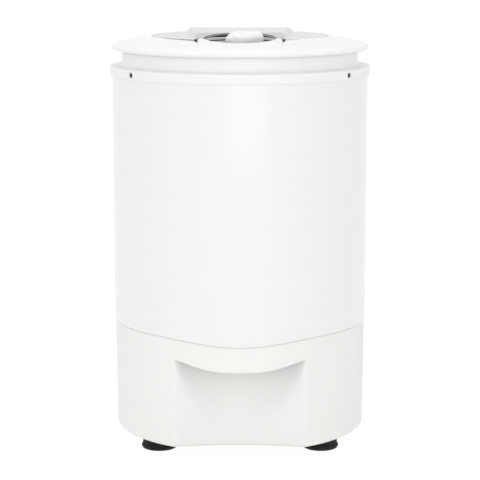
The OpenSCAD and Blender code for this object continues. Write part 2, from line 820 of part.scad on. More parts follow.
module balance_ring() color("#E9EAE8") rotate_extrude() polygon(concat(
  [[mouth_r, drum_top - balance_h + 4], [mouth_r + 4, drum_top - balance_h],
   [drum_r - drum_t - 0.1, drum_top - balance_h], [drum_r - drum_t - 0.1, drum_top],
   [drum_r, drum_top], [drum_r, drum_top + 1.5], [mouth_r + 3, drum_top + 1.5]],
  [[mouth_r, drum_top - 1.5]]));

// ---------------------------------------------------------------- lid

// Height of the sloped front plane at a distance y along the machine
function tongue_height(y) = bridge_z + (y + knob_y - well_r) * tan(tongue_slope);

// Everything under the sloped front plane and the flat back of the bridge, less a drop
module under_bridge(drop, back) {
  bend = well_r - knob_y;
  rotate([90, 0, 90]) translate([0, 0, -far]) linear_extrude(2 * far) polygon([
    [-lid_r, lid_z], [-lid_r, tongue_height(-lid_r) - drop], [bend, bridge_z - drop],
    [back, bridge_z - drop], [back, lid_z]
  ]);
}

// Plan of the bridge and the tongue, widening towards the back
module strip(from_y, to_y, grow) {
  slope = bridge_spread / (bridge_front + bridge_back);
  front_slope = (bridge_w - tongue_w) / (lid_r - bridge_front);
  function half(y) = grow + (y > -bridge_front ? bridge_w + (y + bridge_front) * slope
    : bridge_w + (y + bridge_front) * front_slope);
  translate([0, 0, lid_z]) linear_extrude(far) polygon([
    [-half(from_y), from_y], [half(from_y), from_y], [half(-bridge_front), -bridge_front],
    [half(to_y), to_y], [-half(to_y), to_y], [-half(-bridge_front), -bridge_front]
  ]);
}

module knob_place() {
  translate([0, -knob_y, 0]) children();
}

// Shell of the lid: rounded flange, shallow cone and the ledge under the window
module lid_shell() {
  seat_z = window_z - window_t;
  top_r = lid_r - flange_edge_r - 0.4;
  rotate_extrude($fn = fine_fn) polygon(concat(
    [[liner_out_r, lid_z], [lid_r - flange_edge_r, lid_z]],
    arc_points([lid_r - flange_edge_r, lid_z + flange_edge_r], flange_edge_r, -80, 0),
    arc_points([lid_r - 5, flange_top - 5], 5, 0, 78),
    [[window_r + slack, window_z], [window_r + slack, seat_z], [window_r - ledge_w, seat_z],
     [window_r - ledge_w, seat_z - ledge_t], [window_r + slack, seat_z - ledge_t],
     [top_r - 1, flange_top - lid_wall], [lid_r - lid_wall, flange_top - lid_wall - 3],
     [lid_r - lid_wall, lid_z + lid_wall], [liner_out_r, lid_z + lid_wall]]));
}

// White tongue that runs from the bridge over the flange's front edge
module lid_tongue() {
  intersection() {
    under_bridge(0, -bridge_front);
    strip(-lid_r, -bridge_front, 0);
    rotate_extrude($fn = fine_fn) polygon([
      [0, window_z - window_t - ledge_t], [window_r, window_z - window_t - ledge_t],
      [lid_r - lid_wall - 1, lid_z + 1], [lid_r - 0.4, lid_z],
      [lid_r - 1, lid_z + 3], [lid_r - 4.5, lid_z + 8.4], [lid_r - 11, lid_z + 12.9],
      [lid_r - 20, lid_z + 16], [lid_r - 30, lid_z + 18.5], [0, bridge_z + 5]
    ]);
  }
}

// The two knuckles of the lid on one side of the hinge
module lid_knuckles(side) {
  for (end = [-1, 1]) {
    x = side * hinge_x + end * (ring_knuckle_w / 2 + knuckle_gap + lid_knuckle_w / 2) - lid_knuckle_w / 2;
    translate([x, hinge_y, hinge_z]) rotate([0, 90, 0]) cylinder(r = knuckle_r, h = lid_knuckle_w, $fn = 48);
    translate([x, hinge_y - 10, hinge_z]) cube([lid_knuckle_w, 12, lid_z - hinge_z + 2]);
  }
}

module lid_frame() color("#F8F8F6") difference() {
  union() {
    lid_shell();
    lid_tongue();
    for (side = [-1, 1]) lid_knuckles(side);
    for (a = lid_screw_angles)
      from_front(a, lid_screw_r) rod(5, lid_z + liner_t, flange_top - 1, $fn = small_fn);
  }
  knob_place() rod(well_r + slack, lid_z + liner_t, bridge_z + 10);
  hinge_bore(pin_r + run);
  for (a = lid_screw_angles) from_front(a, lid_screw_r) rod(1.6, lid_z, flange_top - 3, $fn = small_fn);
}

module lid_window() color("#8E9194") difference() {
  union() {
    rod(window_r, window_z - window_t, window_z, $fn = fine_fn);
    intersection() {
      under_bridge(0, bridge_back);
      strip(-bridge_front, bridge_back, 0);
      rod(window_r - 1, window_z - window_t + 1, bridge_z + 1, $fn = fine_fn);
    }
  }
  intersection() {
    under_bridge(window_t, bridge_back - window_t);
    strip(-bridge_front + window_t, bridge_back - window_t, -window_t);
  }
  strip(-lid_r, -bridge_front, slack);
  knob_place() rod(well_r + slack, lid_z, bridge_z + 10);
}

// Lower plate of the lid, with the latch's bearing boss
module lid_liner() color("#EDEDEA") difference() {
  union() {
    tube(liner_out_r - 0.1, liner_in_r, lid_z, lid_z + liner_t, $fn = 180);
    intersection() {
      translate([-liner_tab_w / 2, -liner_in_r - 6, lid_z])
        cube([liner_tab_w, liner_in_r - knob_y + 36, liner_t]);
      rod(liner_in_r + 2, lid_z, lid_z + liner_t);
    }
    knob_place() rod(spindle_r + 5, liner_boss_z, well_floor - well_floor_t, $fn = 48);
  }
  knob_place() rod(spindle_r + run, arm_z, well_floor + 1, $fn = 48);
  tube(gasket_r + gasket_w, gasket_r, lid_z - 1, lid_z + gasket_sink);
  for (a = lid_screw_angles) from_front(a, lid_screw_r) {
    rod(1.8, lid_z - 1, lid_z + liner_t + 1, $fn = small_fn);
    rod(4.2, lid_z - 1, lid_z + 1.8, $fn = small_fn);
  }
}

module lid_gasket() color("#5A5C5E")
  tube(gasket_r + gasket_w, gasket_r, neck_top + 0.2, lid_z + gasket_sink);

module lid_screws() color("#9A9DA0") for (a = lid_screw_angles) from_front(a, lid_screw_r) {
  rod(4, lid_z + 0.2, lid_z + 1.8, $fn = small_fn);
  rod(1.5, lid_z + 1, flange_top - 4, $fn = small_fn);
}

module lid_magnet() color("#6A6D70") from_front(-25, neck_in_r - 6)
  rod(4, lid_z + liner_t, lid_z + liner_t + 4, $fn = small_fn);

// ---------------------------------------------------------------- latch

// Cup around the knob, cut off just under the sloped surface
module knob_well() color("#202124") intersection() {
  under_bridge(0.8, bridge_back);
  knob_place() difference() {
    rod(well_r, well_floor - well_floor_t, bridge_z + 5);
    rod(well_r - well_wall, well_floor, bridge_z + 6);
    rod(spindle_r + 0.4, well_floor - well_floor_t - 1, well_floor + 1, $fn = 48);
  }
}

module knob() color("#F9F9F8") knob_place() {
  grip_z = knob_top - 10;
  rim = 1.6;
  lever_r = 9.5;
  lever_angle = 12;
  edge = 2;
  difference() {
    union() {
      rotate_extrude($fn = 64) polygon(concat(
        [[0, well_floor + slack], [knob_r, well_floor + slack]],
        arc_points([knob_r - edge, knob_top - edge], edge, 0, 90, 4), [[0, knob_top]]));
      rotate(lever_angle) {
        translate([0, -lever_r, grip_z]) cube([lever_reach - lever_r, 2 * lever_r, knob_top - grip_z - 0.4]);
        translate([lever_reach - lever_r, 0, 0]) rod(lever_r, grip_z, knob_top - 0.4, $fn = 48);
      }
    }
    translate([knob_r * 0.86, -knob_r * 1.42, 0]) rod(knob_r * 1.08, grip_z + 0.5, knob_top - rim);
    rod(spindle_r, 0, knob_top - 4, $fn = 48);
  }
}

module latch_spindle() color("#BDBFC2") knob_place() rod(spindle_r, arm_z, knob_top - 4, $fn = 48);

module latch_arm() color("#AEB1B4") knob_place() difference() {
  union() {
    rod(9, arm_z, arm_z + hub_h, $fn = 48);
    translate([0, -arm_w / 2, arm_z]) cube([arm_reach - arm_w / 2, arm_w, arm_t]);
    translate([arm_reach - arm_w / 2, 0, 0]) rod(arm_w / 2, arm_z, arm_z + arm_t, $fn = 48);
  }
  rod(spindle_r, arm_z - 1, arm_z + hub_h + 1, $fn = 48);
}

module arm_screw() color("#85888B") knob_place() rod(spindle_r + 2, arm_z - 2.5, arm_z, $fn = 48);

base_moulding();
scoop_panel();
scoop_pocket();
scoop_roof();
base_floor();
tub_deck();
foot_right();
foot_rear();
foot_left();
foot_screws();
cabinet();
top_ring();
band_screws();
strike_plate();
reed_switch();
hinge_pins();
outer_tub();
tub_bellows();
drain_spout();
motor_plate();
mount_right();
mount_rear();
mount_left();
mount_studs();
motor_housing();
stator_core();
winding_upper();
winding_lower();
bearing_housing();
bearing_upper();
bearing_lower();
capacitor();
capacitor_cup();
control_box();
cord_inlet();
drive_shaft();
rotor_core();
cooling_fan();
drum_hub();
drum();
drum_floor();
drum_cone();
hub_nut();
balance_ring();
lid_frame();
lid_window();
lid_liner();
lid_gasket();
lid_screws();
lid_magnet();
knob_well();
knob();
latch_spindle();
latch_arm();
arm_screw();
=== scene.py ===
"""Looks of a round laundry spin dryer, built around its packed construction.

Points are worked out in millimetres, as the construction is, and written to the meshes in metres.
"""

import json
import math

import bmesh
import bpy
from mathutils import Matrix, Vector


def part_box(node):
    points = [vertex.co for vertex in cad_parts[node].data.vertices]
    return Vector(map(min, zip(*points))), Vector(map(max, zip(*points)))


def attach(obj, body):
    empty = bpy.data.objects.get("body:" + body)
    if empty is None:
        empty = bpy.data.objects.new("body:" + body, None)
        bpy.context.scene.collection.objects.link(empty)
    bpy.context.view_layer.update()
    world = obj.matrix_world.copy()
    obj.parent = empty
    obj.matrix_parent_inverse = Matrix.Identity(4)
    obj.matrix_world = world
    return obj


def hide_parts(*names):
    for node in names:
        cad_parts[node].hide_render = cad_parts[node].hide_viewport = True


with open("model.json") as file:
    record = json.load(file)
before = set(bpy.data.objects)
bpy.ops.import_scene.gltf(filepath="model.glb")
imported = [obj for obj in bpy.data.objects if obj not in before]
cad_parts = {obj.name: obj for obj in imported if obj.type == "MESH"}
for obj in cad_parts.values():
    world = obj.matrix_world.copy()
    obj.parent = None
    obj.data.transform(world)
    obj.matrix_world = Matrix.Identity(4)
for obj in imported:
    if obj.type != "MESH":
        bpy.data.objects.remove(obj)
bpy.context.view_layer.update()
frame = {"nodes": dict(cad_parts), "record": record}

bl_info = {
    "name": "Laundry Spin Dryer",
    "version": (1, 0, 0),
    "blender": (4, 5, 0),
    "location": "3D View > Sidebar > Spin Dryer",
    "description": "Builds the finishes and the fine shapes of a round laundry spin dryer",
    "category": "Object",
}

MM = 0.001
SMOOTH_ANGLE = math.radians(32)

# Places that several pieces share, in millimetres unless they say otherwise.
KNOB_Y = 92                 # the knob's axis stands this far in front of the machine's
HINGE_XS = (-60, 60)        # the two hinges, to each side of the middle
HINGE_Y, HINGE_Z = 174, 557
HINGE_R = 6.0               # radius of the hinge knuckles
FEET = ("foot_right", "foot_rear", "foot_left")
BAND_SCREW_ANGLES = (-54, 54, 126, -126)    # in degrees from the front
LID_SCREW_ANGLES = (30, 75, 120, 240, 285, 330)
BAND_SCREW_Z = 538.3
BAND_SCREW_DEPTH = 1.8      # how deep the band screws' recesses are
FOOT_SCREW_Z = 12           # the foot screws' heads rest on this step
PANE_TOP = 586.7            # top of the window beside its bridge
PANE_SEAT_R = 131.3         # radius of the step in the lid that the window lies in
PANE_SEAT_Z = 583.9         # just above the shelf under the window


def low(node):
    """Lowest corner of a construction node, in millimetres."""
    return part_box(node)[0] / MM


def high(node):
    """Highest corner of a construction node, in millimetres."""
    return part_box(node)[1] / MM


# ---------------------------------------------------------------- shapes

def round_min(a, b, blend):
    """The smaller of two values, with the corner between them rounded over a width of blend."""
    overlap = max(blend - abs(a - b), 0.0) / blend
    return min(a, b) - overlap * overlap * blend / 4


def round_max(a, b, blend):
    """The larger of two values, with the corner between them rounded over a width of blend."""
    return -round_min(-a, -b, blend)


def polar(angle, radius, z):
    """A point at an angle in degrees from the front, seen from above, turning towards +X."""
    turn = math.radians(angle)
    return (radius * math.sin(turn), -radius * math.cos(turn), z)


def rounded(corners, steps=4):
    """A closed profile from (radius, z, fillet) corners, with every fillet drawn as an arc."""
    points = []
    count = len(corners)
    for i, (x, z, fillet) in enumerate(corners):
        if fillet <= 0:
            points.append((x, z))
            continue
        here = Vector((x, z))
        to_last = Vector(corners[i - 1][:2]) - here
        to_next = Vector(corners[(i + 1) % count][:2]) - here
        last_length, next_length = to_last.length, to_next.length
        to_last.normalize()
        to_next.normalize()
        half = to_last.angle(to_next) / 2
        reach = min(fillet / math.tan(half), last_length * 0.49, next_length * 0.49)
        radius = reach * math.tan(half)
        centre = here + (to_last + to_next).normalized() * (radius / math.sin(half))
        start = here + to_last * reach - centre
        sweep = start.angle_signed(here + to_next * reach - centre)
        for step in range(steps + 1):
            turn = -sweep * step / steps
            cos, sin = math.cos(turn), math.sin(turn)
            points.append((centre.x + start.x * cos - start.y * sin,
                           centre.y + start.x * sin + start.y * cos))
    return points


class Body:
    """Points and faces of one piece, in millimetres, gathered from several closed shapes."""

    def __init__(self):
        self.points = []
        self.faces = []

    def loft(self, loops, closed=True, caps=False):
        """Joins closed loops of equal length, one after the other."""
        start, size, count = len(self.points), len(loops[0]), len(loops)
        for loop in loops:
            self.points.extend(loop)
        for i in range(count if closed else count - 1):
            here, there = start + i * size, start + (i + 1) % count * size
            for k in range(size):
                n = (k + 1) % size
                self.faces.append((here + k, there + k, there + n, here + n))
        if caps:
            self.faces.append(tuple(start + k for k in range(size)))
            self.faces.append(tuple(start + (count - 1) * size + k for k in reversed(range(size))))

    def revolve(self, profile, segments=240, centre=(0.0, 0.0)):
        """Turns a closed profile of (radius, z) about an upright axis."""
        loops = []
        for i in range(segments):
            loop = [polar(360 * i / segments, r, z) for r, z in profile]
            loops.append([(x + centre[0], y + centre[1], z) for x, y, z in loop])
        self.loft(loops)

    def rod(self, start, end, radius, edge=0.6, segments=32):
        """A rod between two points, with rounded ends."""
        start, end = Vector(start), Vector(end)
        along = (end - start).normalized()
        side = along.orthogonal().normalized()
        other = along.cross(side)
        length = (end - start).length
        stations = [(0.0, radius - edge), (edge * 0.3, radius - edge * 0.3), (edge, radius),
                    (length - edge, radius), (length - edge * 0.3, radius - edge * 0.3),
                    (length, radius - edge)]
        loops = []
        for reach, r in stations:
            turns = (math.tau * k / segments for k in range(segments))
            loops.append([tuple(start + along * reach
                                + (side * math.cos(a) + other * math.sin(a)) * r) for a in turns])
        self.loft(loops, closed=False, caps=True)

    def block(self, least, most, edge=0.8):
        """A box with chamfered edges all round."""
        (x0, y0, z0), (x1, y1, z1) = least, most
        loops = []
        for z, inset in ((z0, edge), (z0 + edge, 0), (z1 - edge, 0), (z1, edge)):
            a, b, c, d = x0 + inset, x1 - inset, y0 + inset, y1 - inset
            cut = edge
            loops.append([(a + cut, c, z), (b - cut, c, z), (b, c + cut, z), (b, d - cut, z),
                          (b - cut, d, z), (a + cut, d, z), (a, d - cut, z), (a, c + cut, z)])
        self.loft(loops, closed=False, caps=True)

    def mesh(self, name):
        """The gathered shapes as a mesh in metres, with doubles merged and faces outwards."""
        mesh = bpy.data.meshes.new(name)
        mesh.from_pydata([tuple(v * MM for v in point) for point in self.points], [], self.faces)
        work = bmesh.new()
        work.from_mesh(mesh)
        bmesh.ops.remove_doubles(work, verts=work.verts, dist=0.00001)
        bmesh.ops.dissolve_degenerate(work, edges=work.edges, dist=0.000005)
        bmesh.ops.recalc_face_normals(work, faces=work.faces)
        work.to_mesh(mesh)
        work.free()
        return mesh


def place(name, mesh, body, finish, nodes=()):
    """Puts a finished mesh in the scene as a piece that rides on a body and stands for nodes."""
    mesh.materials.clear()
    mesh.materials.append(FINISHES[finish])
    mesh.shade_smooth()
    mesh.set_sharp_from_angle(angle=SMOOTH_ANGLE)
    piece = bpy.data.objects.new(name, mesh)
    bpy.context.scene.collection.objects.link(piece)
    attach(piece, body)
    if nodes:
        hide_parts(*nodes)
    return piece


# ---------------------------------------------------------------- nodes

MATH = "ShaderNodeMath"


def linear(code):
    """An sRGB hex colour as linear red, green and blue."""
    values = [int(code[i:i + 2], 16) / 255 for i in (1, 3, 5)]
    return tuple(v / 12.92 if v <= 0.04045 else ((v + 0.055) / 1.055) ** 2.4 for v in values)


def add(tree, kind, settings=None, links=None):
    """Adds a node. Settings are attributes or input values, and a link comes from a socket, from
    another node's first output or from a plain number."""
    node = tree.nodes.new(kind)
    for key, value in (settings or {}).items():
        if isinstance(key, str) and hasattr(node, key):
            setattr(node, key, value)
        else:
            node.inputs[key].default_value = value
    for key, source in (links or {}).items():
        if isinstance(source, (int, float)):
            node.inputs[key].default_value = source
        elif isinstance(source, bpy.types.Node):
            tree.links.new(source.outputs[0], node.inputs[key])
        else:
            tree.links.new(source, node.inputs[key])
    return node


def rule(name, inputs):
    """A geometry tree with named inputs, and the sockets of its Group Input."""
    tree = bpy.data.node_groups.new(name, "GeometryNodeTree")
    tree.interface.new_socket("Geometry", in_out="INPUT", socket_type="NodeSocketGeometry")
    for label, kind, value in inputs:
        socket = tree.interface.new_socket(label, in_out="INPUT", socket_type="NodeSocket" + kind)
        socket.default_value = value
    tree.interface.new_socket("Geometry", in_out="OUTPUT", socket_type="NodeSocketGeometry")
    return tree, tree.nodes.new("NodeGroupInput").outputs


def close_rule(tree, geometry, finish):
    """Ends a geometry tree in real geometry with its material."""
    real = add(tree, "GeometryNodeRealizeInstances", None, {"Geometry": geometry})
    dressed = add(tree, "GeometryNodeSetMaterial", {"Material": finish}, {"Geometry": real})
    add(tree, "NodeGroupOutput", None, {0: dressed})


def grow(name, tree, points, values, facing=None):
    """The plain mesh that a geometry tree makes from a few starting points in millimetres."""
    seed = bpy.data.meshes.new(name + "_points")
    seed.from_pydata([tuple(v * MM for v in p) for p in points], [], [])
    if facing:
        store = seed.attributes.new("facing", "FLOAT_VECTOR", "POINT")
        store.data.foreach_set("vector", [v for direction in facing for v in direction])
    carrier = bpy.data.objects.new(name + "_points", seed)
    bpy.context.scene.collection.objects.link(carrier)
    modifier = carrier.modifiers.new("rule", "NODES")
    modifier.node_group = tree
    named = {item.name: item.identifier for item in tree.interface.items_tree
             if item.in_out == "INPUT"}
    for label, value in values.items():
        modifier[named[label]] = value
    ready = carrier.evaluated_get(bpy.context.evaluated_depsgraph_get())
    mesh = bpy.data.meshes.new_from_object(ready)
    bpy.data.objects.remove(carrier)
    mesh.name = name
    return mesh


# ---------------------------------------------------------------- finishes

FINISHES = {}


def blank(name, colour, roughness, metallic, settings):
    """A material with its even values set on the shader, and the parts that patterns join."""
    material = bpy.data.materials.new(name)
    material.use_nodes = True
    tree = material.node_tree
    shader = tree.nodes["Principled BSDF"]
    shader.inputs["Base Color"].default_value = tuple(colour) + (1.0,)
    shader.inputs["Roughness"].default_value = roughness
    shader.inputs["Metallic"].default_value = metallic
    for key, value in (settings or {}).items():
        shader.inputs[key].default_value = value
    where = add(tree, "ShaderNodeTexCoord").outputs["Object"]
    return material, tree, shader, where


def tone(tree, shader, pattern, colour, other):
    """Lets a pattern move the colour between two tones."""
    mixed = add(tree, "ShaderNodeMix", {"data_type": "RGBA", 6: tuple(other) + (1.0,),
                                        7: tuple(colour) + (1.0,)}, {0: pattern})
    tree.links.new(mixed.outputs[2], shader.inputs["Base Color"])


def gloss(tree, shader, pattern, least, most):
    """Lets a pattern move the roughness between two values."""
    spread = add(tree, "ShaderNodeMapRange", {"To Min": least, "To Max": most}, {"Value": pattern})
    tree.links.new(spread.outputs[0], shader.inputs["Roughness"])


def relief(tree, shader, layers, edge_mm=0.0):
    """Adds layers of (pattern, strength, height in millimetres) to the surface. A width in
    millimetres softens the edges under them."""
    below = None
    if edge_mm > 0:
        below = add(tree, "ShaderNodeBevel", {"samples": 4, "Radius": edge_mm * MM}).outputs[0]
    for pattern, strength, height in layers:
        links = {"Height": pattern}
        if below:
            links["Normal"] = below
        below = add(tree, "ShaderNodeBump", {"Strength": strength, "Distance": height * MM},
                    links).outputs[0]
    tree.links.new(below, shader.inputs["Normal"])


def darker(colour, share):
    """A linear colour with a share of its light taken away."""
    return tuple(v * (1 - share) for v in colour)


def moulded(name, colour, roughness, cloudy=0.02, grain_mm=1.4, grain=0.05, glow=0.0, edge_mm=0.0):
    """Moulded plastic. The melt leaves faint clouds of tone a hand wide, and the etched mould an
    even fine grain that breaks up the gloss. The real grain is 0.3 mm: it is drawn coarser."""
    material, tree, shader, where = blank(name, colour, roughness, 0.0, {
        "IOR": 1.5, "Subsurface Weight": glow, "Subsurface Scale": 0.004,
        "Subsurface Radius": (1.0, 0.95, 0.9)})
    clouds = add(tree, "ShaderNodeTexNoise", {"Scale": 11.0, "Detail": 3.0}, {"Vector": where})
    tone(tree, shader, clouds, colour, darker(colour, cloudy))
    fine = add(tree, "ShaderNodeTexNoise", {"Scale": 1 / (grain_mm * MM), "Detail": 2.0},
               {"Vector": where})
    patches = add(tree, "ShaderNodeTexNoise", {"Scale": 19.0, "Detail": 2.0}, {"Vector": where})
    gloss(tree, shader, patches, roughness - 0.03, roughness + 0.03)
    relief(tree, shader, [(fine, grain, 0.12)], edge_mm)
    return material


def enamelled(name, colour):
    """Stoved enamel on steel sheet. The paint draws into orange peel about 3 mm wide with a clear
    skin over it, and the sheet under it waves very slightly, so long reflections swim."""
    material, tree, shader, where = blank(name, colour, 0.3, 0.0, {
        "IOR": 1.5, "Coat Weight": 0.5, "Coat Roughness": 0.12, "Coat IOR": 1.5})
    clouds = add(tree, "ShaderNodeTexNoise", {"Scale": 6.0, "Detail": 2.0}, {"Vector": where})
    tone(tree, shader, clouds, colour, darker(colour, 0.012))
    peel = add(tree, "ShaderNodeTexNoise", {"Scale": 330.0, "Detail": 1.0}, {"Vector": where})
    wave = add(tree, "ShaderNodeTexNoise", {"Scale": 9.0, "Detail": 1.0}, {"Vector": where})
    gloss(tree, shader, clouds, 0.26, 0.34)
    relief(tree, shader, [(wave, 0.12, 0.5), (peel, 0.022, 0.1)])
    return material


def streaked(name, colour, roughness, stretch, turn=0.35, edge_mm=0.0):
    """Ground, brushed or drawn metal. The tool leaves streaks along its path, which shift both the
    tone and the gloss. Real scratches are hundredths of a millimetre wide: these are about 1 mm."""
    material, tree, shader, where = blank(name, colour, roughness, 1.0, {"Anisotropic": turn})
    along = add(tree, "ShaderNodeMapping", {"Scale": stretch}, {"Vector": where})
    lines = add(tree, "ShaderNodeTexNoise", {"Scale": 1000.0, "Detail": 3.0, "Roughness": 0.65},
                {"Vector": along})
    clouds = add(tree, "ShaderNodeTexNoise", {"Scale": 25.0, "Detail": 3.0}, {"Vector": where})
    both = add(tree, MATH, {"operation": "MULTIPLY_ADD"}, {0: lines, 1: 0.7, 2: add(
        tree, MATH, {"operation": "MULTIPLY"}, {0: clouds, 1: 0.3})})
    tone(tree, shader, both, colour, darker(colour, 0.16))
    gloss(tree, shader, both, max(roughness - 0.1, 0.05), roughness + 0.12)
    relief(tree, shader, [(lines, 0.06, 0.05)], edge_mm)
    return material


def cast(name, colour, roughness, metallic=1.0, grain_mm=2.2, grain=0.25):
    """Cast metal, bare or painted. The mould leaves a pebbled skin with small pits, dull in the
    hollows and brighter on the high spots."""
    material, tree, shader, where = blank(name, colour, roughness, metallic, None)
    skin = add(tree, "ShaderNodeTexNoise", {"Scale": 1 / (grain_mm * MM), "Detail": 4.0},
               {"Vector": where})
    pits = add(tree, "ShaderNodeTexVoronoi", {"Scale": 160.0}, {"Vector": where})
    tone(tree, shader, skin, colour, darker(colour, 0.22))
    gloss(tree, shader, skin, roughness - 0.1, roughness + 0.15)
    relief(tree, shader, [(skin, grain, 0.4), (pits, grain * 0.3, 0.2)], 0.6)
    return material


def plated(name, colour, tint, cell_mm=7.0, roughness=0.35):
    """Zinc on steel. The coat sets in feathery crystals, each with its own tone and gloss, with a
    faint straw and blue tint from the bath that seals it."""
    material, tree, shader, where = blank(name, colour, roughness, 1.0, None)
    bent = add(tree, "ShaderNodeTexNoise", {"Scale": 120.0, "Detail": 2.0}, {"Vector": where})
    shifted = add(tree, "ShaderNodeVectorMath", {"operation": "MULTIPLY_ADD", 1: (0.004,) * 3},
                  {0: bent.outputs["Color"], 2: where})
    crystals = add(tree, "ShaderNodeTexVoronoi", {"Scale": 1 / (cell_mm * MM)}, {"Vector": shifted})
    value = add(tree, "ShaderNodeSeparateXYZ", None, {0: crystals.outputs["Color"]})
    tone(tree, shader, value.outputs[0], colour, tint)
    gloss(tree, shader, value.outputs[1], roughness - 0.12, roughness + 0.12)
    relief(tree, shader, [(crystals.outputs["Distance"], 0.05, 0.1)], 0.3)
    return material


def vulcanised(name, colour, bloom, roughness=0.62):
    """Moulded rubber. It is nearly black, with a grey bloom in patches and fine dust that the
    pebbled skin holds, so it never shines evenly."""
    material, tree, shader, where = blank(name, colour, roughness, 0.0, {"IOR": 1.52})
    patches = add(tree, "ShaderNodeTexNoise", {"Scale": 70.0, "Detail": 5.0, "Roughness": 0.65},
                  {"Vector": where})
    dust = add(tree, "ShaderNodeMapRange", {"From Min": 0.45, "From Max": 0.75}, {"Value": patches})
    tone(tree, shader, dust, bloom, colour)
    skin = add(tree, "ShaderNodeTexNoise", {"Scale": 700.0, "Detail": 2.0}, {"Vector": where})
    gloss(tree, shader, patches, roughness - 0.12, roughness + 0.16)
    relief(tree, shader, [(skin, 0.16, 0.15)])
    return material


def laminated(name, colour, sheet_mm=1.4):
    """A stack of electrical steel sheets. Their edges show as level lines round the core, bright
    where the lathe skimmed them and dark between. Real sheets are 0.5 mm: these are thicker."""
    material, tree, shader, where = blank(name, colour, 0.42, 1.0, None)
    sheets = add(tree, "ShaderNodeTexWave", {"wave_type": "BANDS", "bands_direction": "Z",
                                             "Scale": 0.314 / (sheet_mm * MM), "Distortion": 0.2},
                 {"Vector": where})
    rust = add(tree, "ShaderNodeTexNoise", {"Scale": 60.0, "Detail": 4.0}, {"Vector": where})
    both = add(tree, MATH, {"operation": "MULTIPLY"}, {0: sheets, 1: rust})
    tone(tree, shader, both, colour, linear("#4A4238"))
    gloss(tree, shader, rust, 0.32, 0.55)
    relief(tree, shader, [(sheets, 0.5, 0.25)])
    return material


def wound(name, colour, wire_mm=1.6):
    """Varnished copper wire wound in coils. Each turn is a bright ridge under clear brown varnish
    that pools dark between the turns. Real wire is 0.6 mm: it is drawn thicker."""
    material, tree, shader, where = blank(name, colour, 0.3, 0.7, {"Coat Weight": 0.7,
                                                                  "Coat Roughness": 0.15})
    turns = add(tree, "ShaderNodeTexWave", {"wave_type": "RINGS", "rings_direction": "Z",
                                            "Scale": 0.314 / (wire_mm * MM), "Distortion": 2.5,
                                            "Detail": 1.0, "Detail Scale": 0.6}, {"Vector": where})
    tone(tree, shader, turns, colour, darker(colour, 0.6))
    gloss(tree, shader, turns, 0.22, 0.45)
    relief(tree, shader, [(turns, 0.8, 0.5)])
    return material


def smoked(name, colour, clear):
    """Smoked polycarbonate. Light partly passes and comes back grey, and the polished skin mirrors
    the room more the flatter it is seen, so the far side of the lid looks palest."""
    material, tree, shader, where = blank(name, colour, 0.12, 0.0, {
        "IOR": 1.58, "Transmission Weight": clear, "Coat Weight": 0.3, "Coat Roughness": 0.05})
    clouds = add(tree, "ShaderNodeTexNoise", {"Scale": 14.0, "Detail": 2.0}, {"Vector": where})
    tone(tree, shader, clouds, colour, darker(colour, 0.05))
    wipes = add(tree, "ShaderNodeMapping", {"Scale": (1.0, 6.0, 1.0), "Rotation": (0, 0, 0.4)},
                {"Vector": where})
    haze = add(tree, "ShaderNodeTexNoise", {"Scale": 40.0, "Detail": 4.0}, {"Vector": wipes})
    gloss(tree, shader, haze, 0.09, 0.18)
    relief(tree, shader, [(clouds, 0.02, 0.1)])
    return material


